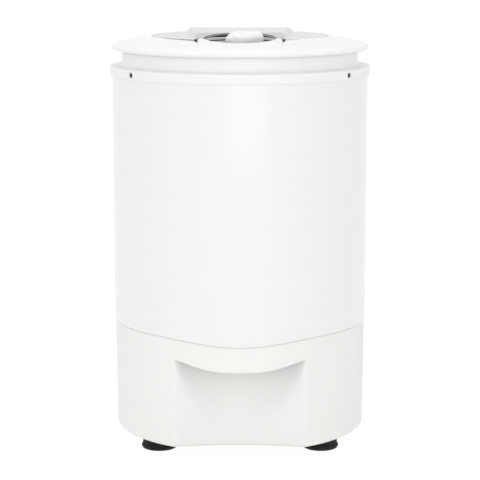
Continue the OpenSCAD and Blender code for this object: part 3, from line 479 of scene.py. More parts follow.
def make_finishes(colours):
    """Every finish of the machine, named for the real material."""
    FINISHES.update({
        # A thick, satin moulding in a faintly waxy warm white, whose shadows stay soft.
        "base_plastic": moulded("moulded_polypropylene_warm_white", colours.base, 0.42, glow=0.3),
        # A harder, glossier warm white, with a wide soft highlight along the band and neck.
        "ring_plastic": moulded("moulded_abs_warm_white", colours.ring, 0.34, glow=0.1),
        # The same plastic in a finer tool: a smooth lid that gleams where it turns over.
        "lid_plastic": moulded("moulded_abs_white", colours.lid, 0.3, grain=0.03, glow=0.2),
        # Polished by hands and by its tool: the brightest and glossiest white on the machine.
        "knob_plastic": moulded("polished_abs_bright_white", colours.knob, 0.22, grain=0.015,
                                glow=0.6),
        # Plain inner mouldings, matt and a little yellower than what shows outside.
        "liner_plastic": moulded("moulded_polypropylene_white", linear("#EDEDEA"), 0.45, 0.04,
                                 edge_mm=0.6),
        # The floors of tub and base: coarse-tooled and dull, so they read as inside surfaces.
        "floor_plastic": moulded("moulded_polypropylene_grey_white", linear("#E6E7E4"), 0.5, 0.05,
                                 grain=0.1, edge_mm=0.6),
        # The tub is undyed and faintly grey, with clouds of tone where the melt cooled slowly.
        "tub_plastic": moulded("moulded_polypropylene_grey", linear("#D9DADA"), 0.45, 0.05,
                               edge_mm=0.6),
        # The cone meets the laundry, so it is smoother and cleaner than the tub around it.
        "cone_plastic": moulded("moulded_polypropylene_clean_white", linear("#E6E7E5"), 0.38, 0.04,
                                edge_mm=0.6),
        # Glass fibre rises to the skin and leaves black polyamide mottled, matt and greyish.
        "black_plastic": moulded("glass_filled_black_polyamide", linear("#2B2D30"), 0.5, 0.15,
                                 grain=0.15, edge_mm=0.4),
        # A dark grey housing with a rougher etched grain that hides finger marks.
        "box_plastic": moulded("moulded_dark_grey_abs", linear("#3B3E42"), 0.48, 0.1, grain=0.12,
                               edge_mm=0.6),
        # The cup is black: painted shade for the hollow round the knob, dark enough for the knob to
        # stand out against it.
        "well_plastic": moulded("black_abs_painted_well_shade", colours.well, 0.3, 0.1),
        # Pale satin bands round the cup catch the light as two thin bright streaks.
        "well_band": moulded("satin_grey_abs", colours.well_band, 0.35, 0.05),
        # A mid grey lip draws the thin outline of the cup against the white tongue; its grey is a
        # painted shade line.
        "rim_painted_shade_plastic": moulded("painted_shade_line_grey_abs", linear("#9C9EA0"), 0.35, 0.05),
        # Where the smoked sheet is sawn through, light is trapped and its edge turns nearly black.
        # The same near black on the plates in the gaps at the tongue's back corners is painted
        # shade.
        "sawn_edge_and_gap_shade": moulded("smoked_sawn_edge_and_painted_gap_shade", linear("#2A2B2D"), 0.4, 0.1),
        # A tinted, polished sheet: grey from above, pale with the room's light at a flat angle.
        "smoked_plastic": smoked("smoked_polycarbonate", colours.window, 0.1),
        # Baked paint on rolled steel: cooler than the plastics, with a tall soft reflection.
        "cabinet_paint": enamelled("stoved_white_enamel", colours.cabinet),
        # Dense black rubber that hardly reflects, with a trace of grey dust in its skin.
        "foot_rubber": vulcanised("moulded_black_rubber", colours.rubber, linear("#111112"), 0.8),
        # Softer rubber in the motor's mounts blooms more, so it looks greyer and patchy.
        "mount_rubber": vulcanised("soft_black_mount_rubber", linear("#232325"), linear("#404042")),
        # The bellows is a thin flexible grey rubber with a slight sheen along its folds.
        "seal_rubber": vulcanised("grey_bellows_rubber", linear("#3C3D3F"), linear("#56575A"),
                                  0.55),
        # Foamed rubber has an open skin, so the gasket is the dullest grey of all.
        "gasket_rubber": vulcanised("grey_foam_rubber", linear("#5A5C5E"), linear("#6E7072"), 0.75),
        # Oil-blackened steel: dark, with a dim metallic gleam on the heads' edges.
        "dark_screw": cast("blackened_steel", linear("#3A3A3C"), 0.42, 1.0, 0.8, 0.1),
        # Small plated fasteners shine cool grey, with specks of straw colour.
        "zinc_steel": plated("bright_zinc_plated_steel", linear("#A9ACAE"), linear("#9C9A86"), 1.6),
        # Dipped sheet shows large frosted crystals, each a shade lighter or darker.
        "plate_steel": plated("hot_dipped_zinc_sheet", linear("#A6AAAE"), linear("#8A8D90"), 9.0,
                              0.42),
        # The three scales of the next metals lay the streaks across, round or along the piece.
        # A pressed plate keeps the rolling lines of its sheet as fine cross streaks.
        "strike_steel": streaked("pressed_stainless_steel", linear("#B9BCC0"), 0.3,
                                 (0.02, 1.0, 1.0), edge_mm=0.3),
        # The grinding wheel leaves the shaft bright, with tight rings round it.
        "shaft_steel": streaked("ground_steel", linear("#B4B7BA"), 0.25, (0.04, 0.04, 1.0)),
        # Lapped bearing steel is the sharpest mirror inside, with only a hint of rings.
        "bearing_steel": streaked("polished_bearing_steel", linear("#C9CBCE"), 0.15,
                                  (0.03, 0.03, 1.0), 0.2),
        # The drum's sheet is brushed round its wall, which stretches the light into level bands.
        "drum_steel": streaked("brushed_stainless_sheet", linear("#C4C6C8"), 0.3,
                               (0.015, 0.015, 1.0)),
        # Deep drawing pulls fine upright lines down the soft, pale can.
        "capacitor_can": streaked("drawn_aluminium_can", linear("#D7D9DA"), 0.3, (1.0, 1.0, 0.02)),
        # Bare die casting: a grey, slightly pebbled metal with brighter high spots.
        "hub_alloy": cast("die_cast_aluminium", linear("#A6A9AC"), 0.45),
        # Paint over a rough casting softens its pebbles and takes away the metal's gleam.
        "motor_paint": cast("dark_painted_casting", linear("#55585C"), 0.5, 0.0),
        # Pressed powder, fired hard: a dense dark grey between stone and metal.
        "magnet_grey": cast("sintered_magnet", linear("#6A6D70"), 0.55, 0.4, 1.0),
        # The stack of sheets shows as level lines, with a breath of rust between them.
        "core_steel": laminated("laminated_electrical_steel", linear("#8A8E92")),
        # Bright copper turns under brown varnish, warm against the grey metals round them.
        "copper_winding": wound("varnished_copper_wire", linear("#B8683A")),
    })


class DRYER_OT_finishes(bpy.types.Operator):
    """Makes every finish and dresses the construction nodes in them"""
    bl_idname = "dryer.finishes"
    bl_label = "Finishes"

    def execute(self, context):
        make_finishes(context.scene.dryer_colours)
        for part in frame["record"]["subparts"]:
            for item in frame["nodes"][part["node"]].material_slots:
                item.material = FINISHES[part["material_slot"]]
        return {"FINISHED"}


# ---------------------------------------------------------------- base

SKIRT_Z = low("base_moulding").z
SKIRT_EDGE = 4.0            # round of the base's lower edge
SKIRT_R = 179.6             # radius of the base just above that round
SEAM_Z = 180.4              # the base reaches its full radius at the seam
SCOOP_EDGE = 7              # round by which the scoop's lower edge turns in
NO_SCOOP = 999.0            # a radius past the base, where a ray misses the scoop
LIP_WALL = 3.1              # thickness of the lip over the scoop
BASE_WALL = 3.0


def seam_height(x, sizes):
    """Height of the seam between cabinet and base at a distance x from the middle."""
    half = sizes.seam_half_width / MM
    dip = sizes.seam_dip / MM * (1 + math.cos(math.pi * min(abs(x) / half, 1))) / 2
    return sizes.seam_height / MM - dip


def lip_height(x, sizes):
    """Height of the scoop's front lip at a distance x from the middle."""
    half = sizes.lip_half_width / MM
    share = (1 - math.cos(math.pi * min(abs(x) / half, 1))) / 2
    return sizes.lip_low / MM + sizes.lip_rise / MM * share ** 1.7


def skirt_radius(z):
    """Outer radius of the base at a height, with its rounded lower edge."""
    edge = SKIRT_Z + SKIRT_EDGE
    if z < edge:
        return SKIRT_R - SKIRT_EDGE + math.sqrt(max(SKIRT_EDGE ** 2 - (edge - z) ** 2, 0))
    return SKIRT_R + (z - edge) * 1.6 / (SEAM_Z - edge)


def scoop_radius(angle, z, sizes):
    """How far the scoop's surface is from the axis along a ray. A wide shallow channel and a
    narrower deep hollow, which leans back as it rises, run into each other."""
    cos, sin = math.cos(math.radians(angle)), math.sin(math.radians(angle))
    if abs(angle) > 60:
        return NO_SCOOP
    lower = max(SKIRT_Z + SCOOP_EDGE - z, 0)
    turned_in = SCOOP_EDGE - math.sqrt(max(SCOOP_EDGE ** 2 - lower ** 2, 0))
    radius = sizes.channel_radius / MM
    centre = sizes.channel_floor / MM + radius
    inside = (centre * cos) ** 2 - centre ** 2 + radius ** 2
    channel = centre * cos - math.sqrt(inside) if inside > 0 else NO_SCOOP
    tilt = math.radians(sizes.scoop_tilt_degrees)
    a = sizes.scoop_radius / MM
    b = a / math.cos(tilt)
    c = sizes.scoop_floor / MM + b + (151.6 - z) * math.tan(tilt)
    part = sin ** 2 / a ** 2 + cos ** 2 / b ** 2
    inside = (c * cos / b ** 2) ** 2 - part * (c ** 2 / b ** 2 - 1)
    deep = (c * cos / b ** 2 - math.sqrt(inside)) / part if inside > 0 else NO_SCOOP
    return round_min(channel, deep, 9.0) - turned_in


def base_column(angle, sizes):
    """Closed outline of the base moulding in one upright plane. It has the same number of points
    everywhere: where there is no hollow behind the lip, those of the hollow fall together."""
    side = math.sin(math.radians(angle)) * 180
    lip, seam = lip_height(side, sizes), seam_height(side, sizes)
    roof = sizes.roof_height / MM
    column = []

    def outer(z):
        return round_min(skirt_radius(z), scoop_radius(angle, z, sizes), 3.5)

    edge = SKIRT_Z + SKIRT_EDGE
    for turn in (0, 12, 25, 38, 52, 66, 78, 90):
        z = edge - SKIRT_EDGE * math.cos(math.radians(turn))
        column.append((outer(z), z))
    for i in range(1, 35):
        z = edge + (lip - edge) * i / 34
        column.append((outer(z), z))
    face = skirt_radius(lip)
    hollow = face - outer(lip) > 3.6
    back = outer(lip)
    front = face - LIP_WALL if hollow else back
    for i in range(1, 6):
        z = lip + (roof - 1.5 - lip) * i / 5 if hollow else lip
        column.append((outer(z), z))
    inner_roof = outer(roof) if hollow else back
    for share in (0.04, 0.5, 0.97):
        column.append((inner_roof + (front - inner_roof) * share, roof if hollow else lip))
    for share in (1.0, 0.5, 0.1):
        column.append((front, lip + (roof - 1 - lip) * share if hollow else lip))
    column.append((front + 0.4 if hollow else front, lip - 0.1 if hollow else lip))
    middle = (front + face) / 2
    column.append((middle if hollow else face, lip - 0.5 if hollow else lip + 0.01))
    column.append((face - 0.5 if hollow else face, lip - 0.2 if hollow else lip + 0.02))
    column.append((face, lip + 0.6))
    for i in range(1, 9):
        z = lip + 0.6 + (seam - 1.2 - lip - 0.6) * i / 8
        column.append((skirt_radius(z), z))
    top = skirt_radius(seam)
    column += [(top - 0.1, seam - 0.55), (top - 0.4, seam - 0.14), (top - 0.9, seam),
               (180.4, seam), (180.4, 189.4), (179.9, 190.4), (177.9, 190.4), (177.4, 189.9),
               (177.4, 180.9), (174.6, 180.6), (174.1, 180.1), (174.1, 176.4)]
    inner, lowest = 176.0, SKIRT_Z + 7
    column.append((inner + 1, 172.4))
    column.append((inner, roof + BASE_WALL + 0.5))
    deep = min(inner, outer(roof) - BASE_WALL) if hollow else inner
    column.append((deep, roof + BASE_WALL))
    for i in range(1, 17):
        z = roof + (lowest - roof) * i / 16
        column.append((min(inner, outer(z) - BASE_WALL) if hollow or z < lip else inner, z))
    column.append((min(173.6, outer(SKIRT_Z + 0.1) - BASE_WALL), SKIRT_Z))
    return column


def column_angles(front, fine, coarse):
    """Angles right round, with fine steps in the front sector."""
    angles = [-front + fine * i for i in range(int(2 * front / fine))]
    count = round((360 - 2 * front) / coarse)
    return angles + [front + (360 - 2 * front) * i / count for i in range(count)]


class DRYER_OT_base(bpy.types.Operator):
    """Builds the base moulding with its scoop, lip and dipping seam"""
    bl_idname = "dryer.base"
    bl_label = "Base moulding"

    def execute(self, context):
        sizes = context.scene.dryer_sizes
        shell = Body()
        loops = []
        for angle in column_angles(38, 0.5, 1.5):
            turned = angle if angle <= 180 else angle - 360
            loops.append([polar(angle, r, z) for r, z in base_column(turned, sizes)])
        shell.loft(loops)
        place("base_shell", shell.mesh("base_shell"), "base", "base_plastic",
              ("base_moulding", "scoop_panel", "scoop_pocket", "scoop_roof"))
        return {"FINISHED"}


class DRYER_OT_feet(bpy.types.Operator):
    """Builds the three rubber feet"""
    bl_idname = "dryer.feet"
    bl_label = "Rubber feet"

    def execute(self, context):
        top = high("foot_rear").z
        profile = rounded([(3.4, FOOT_SCREW_Z, 0), (3.4, top, 0), (22, top, 1),
                           (22.5, top - 3.5, 0.6), (22.1, top - 5, 0.6), (22.9, top - 6.5, 0.6),
                           (23.9, top - 13.5, 0.6), (23.5, top - 15, 0.6), (24.4, top - 16.5, 0.6),
                           (26, 3.5, 1.5), (24, 0, 1.8), (10.5, 0, 1), (9, FOOT_SCREW_Z, 0)], 3)
        for name in FEET:
            middle = (low(name) + high(name)) / 2
            foot = Body()
            foot.revolve(profile, 72, (middle.x, middle.y))
            place("rubber_" + name, foot.mesh("rubber_" + name), "base",
                  "foot_rubber", (name,))
        return {"FINISHED"}


# ---------------------------------------------------------------- cabinet

def cabinet_rule(finish):
    """Rolled sheet whose lower edge dips as a cosine and whose ends lap at the back."""
    tree, given = rule("rolled_cabinet_sheet", [
        ("Radius", "Float", 0.1815), ("Thickness", "Float", 0.0007), ("Bottom", "Float", 0.1812),
        ("Top", "Float", 0.54), ("Dip", "Float", 0.008), ("Dip Half Width", "Float", 0.12),
        ("Lap", "Float", 0.07), ("Columns", "Int", 400), ("Rows", "Int", 10)])

    grid = add(tree, "GeometryNodeMeshGrid", {"Size X": 1.0, "Size Y": 1.0},
               {"Vertices X": given["Columns"], "Vertices Y": given["Rows"]})
    point = add(tree, "ShaderNodeSeparateXYZ", None,
                {0: add(tree, "GeometryNodeInputPosition")}).outputs
    # the angle falls from half a turn as the sheet is followed, past a whole turn to the lap
    along = add(tree, MATH, {"operation": "ADD", 1: 0.5}, {0: point[0]})
    up = add(tree, MATH, {"operation": "ADD", 1: 0.5}, {0: point[1]})
    whole = add(tree, MATH, {"operation": "ADD", 1: math.tau}, {0: given["Lap"]})
    run = add(tree, MATH, {"operation": "MULTIPLY"}, {0: along, 1: whole})
    angle = add(tree, MATH, {"operation": "SUBTRACT", 0: math.pi}, {1: run})
    # where the sheet laps, it steps in by its own thickness
    under = add(tree, "ShaderNodeMapRange", {"From Min": math.tau - 0.03, "From Max": math.tau},
                {"Value": run})
    thick = add(tree, MATH, {"operation": "ADD", 1: 0.00005}, {0: given["Thickness"]})
    sunk = add(tree, MATH, {"operation": "MULTIPLY"}, {0: under, 1: thick})
    radius = add(tree, MATH, {"operation": "SUBTRACT"}, {0: given["Radius"], 1: sunk})
    sine = add(tree, MATH, {"operation": "SINE"}, {0: angle})
    cosine = add(tree, MATH, {"operation": "COSINE"}, {0: angle})
    x = add(tree, MATH, {"operation": "MULTIPLY"}, {0: radius, 1: sine})
    front = add(tree, MATH, {"operation": "MULTIPLY"}, {0: radius, 1: cosine})
    y = add(tree, MATH, {"operation": "MULTIPLY", 1: -1.0}, {0: front})
    # the lower edge dips as a cosine of the distance from the middle, on the front half
    aside = add(tree, MATH, {"operation": "ABSOLUTE"}, {0: x})
    share = add(tree, MATH, {"operation": "DIVIDE", "use_clamp": True},
                {0: aside, 1: given["Dip Half Width"]})
    turn = add(tree, MATH, {"operation": "MULTIPLY", 1: math.pi}, {0: share})
    wave = add(tree, MATH, {"operation": "COSINE"}, {0: turn})
    depth = add(tree, MATH, {"operation": "MULTIPLY_ADD", 1: 0.5, 2: 0.5}, {0: wave})
    facing = add(tree, MATH, {"operation": "GREATER_THAN", 1: 0.0}, {0: front})
    here = add(tree, MATH, {"operation": "MULTIPLY"}, {0: depth, 1: facing})
    dip = add(tree, MATH, {"operation": "MULTIPLY"}, {0: here, 1: given["Dip"]})
    bottom = add(tree, MATH, {"operation": "SUBTRACT"}, {0: given["Bottom"], 1: dip})
    tall = add(tree, MATH, {"operation": "SUBTRACT"}, {0: given["Top"], 1: bottom})
    height = add(tree, MATH, {"operation": "MULTIPLY_ADD"}, {0: up, 1: tall, 2: bottom})
    spot = add(tree, "ShaderNodeCombineXYZ", None, {0: x, 1: y, 2: height})
    rolled = add(tree, "GeometryNodeSetPosition", None,
                 {"Geometry": grid, "Position": spot})
    inwards = add(tree, MATH, {"operation": "MULTIPLY", 1: -1.0}, {0: given["Thickness"]})
    inner = add(tree, "GeometryNodeExtrudeMesh", {"mode": "FACES", "Individual": False},
                {"Mesh": rolled, "Offset Scale": inwards})
    flipped = add(tree, "GeometryNodeFlipFaces", None, {"Mesh": inner})
    joined = add(tree, "GeometryNodeJoinGeometry", None, {0: flipped})
    tree.links.new(rolled.outputs[0], joined.inputs[0])
    merged = add(tree, "GeometryNodeMergeByDistance", {"Distance": 0.00002}, {"Geometry": joined})
    close_rule(tree, merged, finish)
    return tree


class DRYER_OT_cabinet(bpy.types.Operator):
    """Rolls the cabinet's sheet, with the dip of its lower edge and the lap at its back"""
    bl_idname = "dryer.cabinet"
    bl_label = "Cabinet sheet"

    def execute(self, context):
        sizes = context.scene.dryer_sizes
        tree = cabinet_rule(FINISHES["cabinet_paint"])
        mesh = grow("cabinet_sheet", tree, [(0, 0, 0)], {
            "Radius": sizes.cabinet_radius, "Bottom": sizes.seam_height + sizes.seam_gap,
            "Top": high("cabinet").z * MM, "Dip": sizes.seam_dip,
            "Dip Half Width": sizes.seam_half_width})
        place("cabinet_sheet", mesh, "base", "cabinet_paint", ("cabinet",))
        return {"FINISHED"}


# ---------------------------------------------------------------- top ring and screws

def cut(mesh, cutter):
    """Takes a closed shape out of a mesh."""
    whole = bpy.data.objects.new("whole", mesh)
    tool = bpy.data.objects.new("tool", cutter)
    for item in (whole, tool):
        bpy.context.scene.collection.objects.link(item)
    change = whole.modifiers.new("cut", "BOOLEAN")
    change.operation = "DIFFERENCE"
    change.solver = "EXACT"
    change.object = tool
    ready = whole.evaluated_get(bpy.context.evaluated_depsgraph_get())
    result = bpy.data.meshes.new_from_object(ready)
    bpy.data.objects.remove(whole)
    bpy.data.objects.remove(tool)
    return result


class DRYER_OT_top_ring(bpy.types.Operator):
    """Builds the trim band, neck, rim and throat, and the hinge brackets behind the neck"""
    bl_idname = "dryer.top_ring"
    bl_label = "Top ring"

    def execute(self, context):
        sizes = context.scene.dryer_sizes
        band = sizes.band_radius / MM
        neck = sizes.neck_radius / MM
        ring = Body()
        profile = rounded([
            (181.8, 531.6, 0), (band, 531.6, 0.9), (band, 545, 1.6), (neck, 545.8, 2.5),
            (neck, 566, 0.8), (165.4, 566, 0.5), (164.9, 564.8, 0.2), (150, 564.8, 1),
            (150, 561.6, 0.6), (164.8, 561.6, 0),
            (164.8, 551.6, 2), (160, 548.6, 2), (123, 524, 4), (119.5, 517.6, 4),
            (119.5, 505.6, 1.2), (122.5, 505.6, 1.2), (122.5, 516.6, 3), (125.5, 521.6, 3),
            (161.8, 545.1, 2),
            (166.4, 546.6, 0), (166.4, 530.6, 0.5), (169.4, 530.6, 0.5), (169.4, 544, 0),
            (177.4, 541.3, 0), (177.4, 519.6, 0.5), (180.4, 519.6, 0.5), (180.4, 541.2, 0),
            (181.8, 541.2, 0)], 4)
        ring.revolve(profile, 320)
        mesh = ring.mesh("top_ring_shell")
        holes = Body()
        for angle in BAND_SCREW_ANGLES:
            start = polar(angle, band - BAND_SCREW_DEPTH, BAND_SCREW_Z)
            holes.rod(start, polar(angle, band + 3, BAND_SCREW_Z), 4.0, 0.3, 28)
        mesh = cut(mesh, holes.mesh("screw_recesses"))
        brackets = Body()
        brackets.points = [tuple(v.co / MM) for v in mesh.vertices]
        brackets.faces = [tuple(f.vertices) for f in mesh.polygons]
        for x in HINGE_XS:
            brackets.rod((x - 5, HINGE_Y, HINGE_Z), (x + 5, HINGE_Y, HINGE_Z), HINGE_R, 0.6, 40)
            brackets.block((x - 5, 166.5, 551), (x + 5, HINGE_Y, 560.5), 0.6)
        place("top_ring_shell", brackets.mesh("top_ring_shell"), "base",
              "ring_plastic", ("top_ring",))
        return {"FINISHED"}


def screw_rule(finish):
    """Cross-recessed screws, one on each starting point, turned to its facing direction."""
    tree, given = rule("cross_recessed_screws", [
        ("Head Radius", "Float", 0.0036), ("Head Height", "Float", 0.0012),
        ("Recess Width", "Float", 0.0009), ("Recess Length", "Float", 0.0042),
        ("Recess Depth", "Float", 0.0008), ("Shank Radius", "Float", 0.002),
        ("Shank Length", "Float", 0.012)])

    crown = add(tree, MATH, {"operation": "MULTIPLY", 1: 0.72}, {0: given["Head Radius"]})
    head = add(tree, "GeometryNodeMeshCone", {"Vertices": 24, "Side Segments": 1},
               {"Radius Top": crown, "Radius Bottom": given["Head Radius"],
                "Depth": given["Head Height"]})
    deep = add(tree, MATH, {"operation": "MULTIPLY", 1: 2.0}, {0: given["Recess Depth"]})
    lift = add(tree, "ShaderNodeCombineXYZ", None, {2: given["Head Height"]})
    recessed = add(tree, "GeometryNodeMeshBoolean", {"operation": "DIFFERENCE"}, {"Mesh 1": head})
    for pair in (("Recess Length", "Recess Width"), ("Recess Width", "Recess Length")):
        size = add(tree, "ShaderNodeCombineXYZ", None,
                   {0: given[pair[0]], 1: given[pair[1]], 2: deep})
        bar = add(tree, "GeometryNodeMeshCube", None, {"Size": size})
        raised = add(tree, "GeometryNodeTransform", None, {"Geometry": bar, "Translation": lift})
        tree.links.new(raised.outputs[0], recessed.inputs["Mesh 2"])
    shank = add(tree, "GeometryNodeMeshCylinder", {"Vertices": 16},
                {"Radius": given["Shank Radius"], "Depth": given["Shank Length"]})
    half = add(tree, MATH, {"operation": "MULTIPLY", 1: -0.5}, {0: given["Shank Length"]})
    down = add(tree, "ShaderNodeCombineXYZ", None, {2: half})
    shank = add(tree, "GeometryNodeTransform", None, {"Geometry": shank, "Translation": down})
    screw = add(tree, "GeometryNodeJoinGeometry", None, {0: recessed})
    tree.links.new(shank.outputs[0], screw.inputs[0])
    facing = add(tree, "GeometryNodeInputNamedAttribute",
                 {"data_type": "FLOAT_VECTOR", "Name": "facing"})
    turn = add(tree, "FunctionNodeAlignRotationToVector", {"axis": "Z"},
               {"Vector": facing.outputs["Attribute"]})
    placed = add(tree, "GeometryNodeInstanceOnPoints", None,
                 {"Points": given["Geometry"], "Instance": screw, "Rotation": turn})
    close_rule(tree, placed, finish)
    return tree


class DRYER_OT_screws(bpy.types.Operator):
    """Puts the cross-recessed screws in the band, the lid and the feet"""
    bl_idname = "dryer.screws"
    bl_label = "Screws"

    def execute(self, context):
        sizes = context.scene.dryer_sizes
        face = sizes.band_radius / MM - BAND_SCREW_DEPTH
        mesh = grow("band_screw_set", screw_rule(FINISHES["dark_screw"]),
                    [polar(a, face, BAND_SCREW_Z) for a in BAND_SCREW_ANGLES],
                    {"Head Radius": 0.0036, "Head Height": 0.0012, "Shank Length": 0.009},
                    [polar(a, 1, 0) for a in BAND_SCREW_ANGLES])
        place("band_screw_set", mesh, "base", "dark_screw", ("band_screws",))
        mesh = grow("lid_screw_set", screw_rule(FINISHES["zinc_steel"]),
                    [polar(a, 166, 567.4) for a in LID_SCREW_ANGLES],
                    {"Head Radius": 0.004, "Head Height": 0.0016, "Recess Length": 0.0046,
                     "Shank Radius": 0.0015, "Shank Length": 0.005},
                    [(0, 0, -1)] * len(LID_SCREW_ANGLES))
        place("lid_screw_set", mesh, "lid", "zinc_steel", ("lid_screws",))
        middles = [(low(n) + high(n)) / 2 for n in FEET]
        mesh = grow("foot_screw_set", screw_rule(FINISHES["zinc_steel"]),
                    [(m.x, m.y, FOOT_SCREW_Z) for m in middles],
                    {"Head Radius": 0.0075, "Head Height": 0.004, "Recess Width": 0.0016,
                     "Recess Length": 0.008, "Recess Depth": 0.002, "Shank Radius": 0.003,
                     "Shank Length": 0.022}, [(0, 0, -1)] * len(FEET))
        place("foot_screw_set", mesh, "base", "zinc_steel", ("foot_screws",))
        return {"FINISHED"}


# ---------------------------------------------------------------- drum

def perforated_rule(finish):
    """A sheet rolled into a cylinder from square cells with a round hole in each."""
    tree, given = rule("perforated_drum_wall", [
        ("Radius", "Float", 0.126), ("Thickness", "Float", 0.0009), ("Bottom", "Float", 0.2164),
        ("Top", "Float", 0.498), ("Hole Radius", "Float", 0.0024), ("Columns", "Int", 36),
        ("Rows", "Int", 12)])

    point = add(tree, "ShaderNodeSeparateXYZ", None,
                {0: add(tree, "GeometryNodeInputPosition")}).outputs
    around = add(tree, MATH, {"operation": "MULTIPLY", 1: math.tau}, {0: given["Radius"]})
    wide = add(tree, MATH, {"operation": "DIVIDE"}, {0: around, 1: given["Columns"]})
    height = add(tree, MATH, {"operation": "SUBTRACT"}, {0: given["Top"], 1: given["Bottom"]})
    tall = add(tree, MATH, {"operation": "DIVIDE"}, {0: height, 1: given["Rows"]})
    # one cell: a round hole whose edge is spread out to a square
    ring = add(tree, "GeometryNodeMeshCircle", {"Vertices": 16}, {"Radius": given["Hole Radius"]})
    spread = add(tree, "GeometryNodeExtrudeMesh", {"mode": "EDGES", "Offset Scale": 0.0},
                 {"Mesh": ring})
    flat_x = add(tree, MATH, {"operation": "ABSOLUTE"}, {0: point[0]})
    flat_y = add(tree, MATH, {"operation": "ABSOLUTE"}, {0: point[1]})
    reach = add(tree, MATH, {"operation": "MAXIMUM"}, {0: flat_x, 1: flat_y})
    corner = []
    for along, cell in ((point[0], wide), (point[1], tall)):
        part = add(tree, MATH, {"operation": "DIVIDE"}, {0: along, 1: reach})
        half = add(tree, MATH, {"operation": "MULTIPLY", 1: 0.5}, {0: cell})
        corner.append(add(tree, MATH, {"operation": "MULTIPLY"}, {0: part, 1: half}))
    edge = add(tree, "ShaderNodeCombineXYZ", None, {0: corner[0], 1: corner[1]})
    square = add(tree, "GeometryNodeSetPosition", None,
                 {"Geometry": spread, "Position": edge, "Selection": spread.outputs["Top"]})
    # the cells in rows, every other row moved on by half a cell
    cells = add(tree, "GeometryNodeMeshGrid", {"Size X": 1.0, "Size Y": 1.0},
                {"Vertices X": given["Columns"], "Vertices Y": given["Rows"]})
    index = add(tree, "GeometryNodeInputIndex")
    late = add(tree, MATH, {"operation": "ADD", 1: 0.5}, {0: index})
    whole = add(tree, MATH, {"operation": "DIVIDE"}, {0: late, 1: given["Rows"]})
    column = add(tree, MATH, {"operation": "FLOOR"}, {0: whole})
    passed = add(tree, MATH, {"operation": "MULTIPLY"}, {0: column, 1: given["Rows"]})
    row = add(tree, MATH, {"operation": "SUBTRACT"}, {0: index, 1: passed})
    odd = add(tree, MATH, {"operation": "MODULO", 1: 2.0}, {0: row})
    moved = add(tree, MATH, {"operation": "MULTIPLY_ADD", 1: 0.5}, {0: odd, 2: column})
    lifted = add(tree, MATH, {"operation": "ADD", 1: 0.5}, {0: row})
    cell_x = add(tree, MATH, {"operation": "MULTIPLY"}, {0: moved, 1: wide})
    cell_y = add(tree, MATH, {"operation": "MULTIPLY"}, {0: lifted, 1: tall})
    where = add(tree, "ShaderNodeCombineXYZ", None, {0: cell_x, 1: cell_y})
    laid = add(tree, "GeometryNodeSetPosition", None, {"Geometry": cells, "Position": where})
    many = add(tree, "GeometryNodeInstanceOnPoints", None, {"Points": laid, "Instance": square})
    flat = add(tree, "GeometryNodeRealizeInstances", None, {"Geometry": many})
    # the flat sheet rolled up and given its thickness
    angle = add(tree, MATH, {"operation": "DIVIDE"}, {0: point[0], 1: given["Radius"]})
    cosine = add(tree, MATH, {"operation": "COSINE"}, {0: angle})
    sine = add(tree, MATH, {"operation": "SINE"}, {0: angle})
    x = add(tree, MATH, {"operation": "MULTIPLY"}, {0: cosine, 1: given["Radius"]})
    y = add(tree, MATH, {"operation": "MULTIPLY"}, {0: sine, 1: given["Radius"]})
    z = add(tree, MATH, {"operation": "ADD"}, {0: point[1], 1: given["Bottom"]})
    bent = add(tree, "ShaderNodeCombineXYZ", None, {0: x, 1: y, 2: z})
    rolled = add(tree, "GeometryNodeSetPosition", None, {"Geometry": flat, "Position": bent})
    outer = add(tree, "GeometryNodeMergeByDistance", {"Distance": 0.00003}, {"Geometry": rolled})
    inwards = add(tree, MATH, {"operation": "MULTIPLY", 1: -1.0}, {0: given["Thickness"]})
    inner = add(tree, "GeometryNodeExtrudeMesh", {"mode": "FACES", "Individual": False},
                {"Mesh": outer, "Offset Scale": inwards})
    joined = add(tree, "GeometryNodeJoinGeometry", None, {0: inner})
    tree.links.new(outer.outputs[0], joined.inputs[0])
    merged = add(tree, "GeometryNodeMergeByDistance", {"Distance": 0.00002}, {"Geometry": joined})
    close_rule(tree, merged, finish)
    return tree


def turn_outwards(mesh):
    """Makes the faces of a closed mesh point out of it."""
    work = bmesh.new()
    work.from_mesh(mesh)
    bmesh.ops.recalc_face_normals(work, faces=work.faces)
    work.to_mesh(mesh)
    work.free()
    return mesh


class DRYER_OT_drum(bpy.types.Operator):
    """Rolls the perforated drum wall"""
    bl_idname = "dryer.drum"
    bl_label = "Drum wall"

    def execute(self, context):
        sizes = context.scene.dryer_sizes
        tree = perforated_rule(FINISHES["drum_steel"])
        mesh = grow("drum_wall", tree, [(0, 0, 0)], {
            "Radius": high("drum").x * MM, "Bottom": low("drum").z * MM, "Top": high("drum").z * MM,
            "Hole Radius": sizes.perforation_radius, "Columns": sizes.perforation_columns,
            "Rows": sizes.perforation_rows})
        place("drum_wall", turn_outwards(mesh), "rotor", "drum_steel", ("drum",))
        return {"FINISHED"}


# ---------------------------------------------------------------- lid

WELL_R = 49.3               # opening for the cup around the knob
WINDOW_R = 125.6            # edge of the window that shows
TONGUE_BACK = 97.5          # the tongue ends this far in front of the machine's axis
FLANGE_R = 178.0            # middle of the flange's round edge
FLANGE_Z = 572.0
FLANGE_ROUND = 5


def tongue_height(y, sizes):
    """Height of the plane that the tongue and the bridge's front part share."""
    slope = math.tan(math.radians(sizes.tongue_slope_degrees))
    return 592.7 + min(y + 43, 0) * slope


def bridge_half(y):
    """Half width of the strip that the tongue and the bridge make across the lid."""
    if y > -105:
        return 61 + (y + 105) * 18 / 203
    return 61 + (y + 105) * 9 / 78


def cone_height(r):
    """Height of the white ring between the flange and the window."""
    fall = (576.9 - PANE_TOP) * (r - PANE_SEAT_R) / (179.0 - PANE_SEAT_R)
    return round_min(PANE_TOP + fall, 586.9, 0.8)


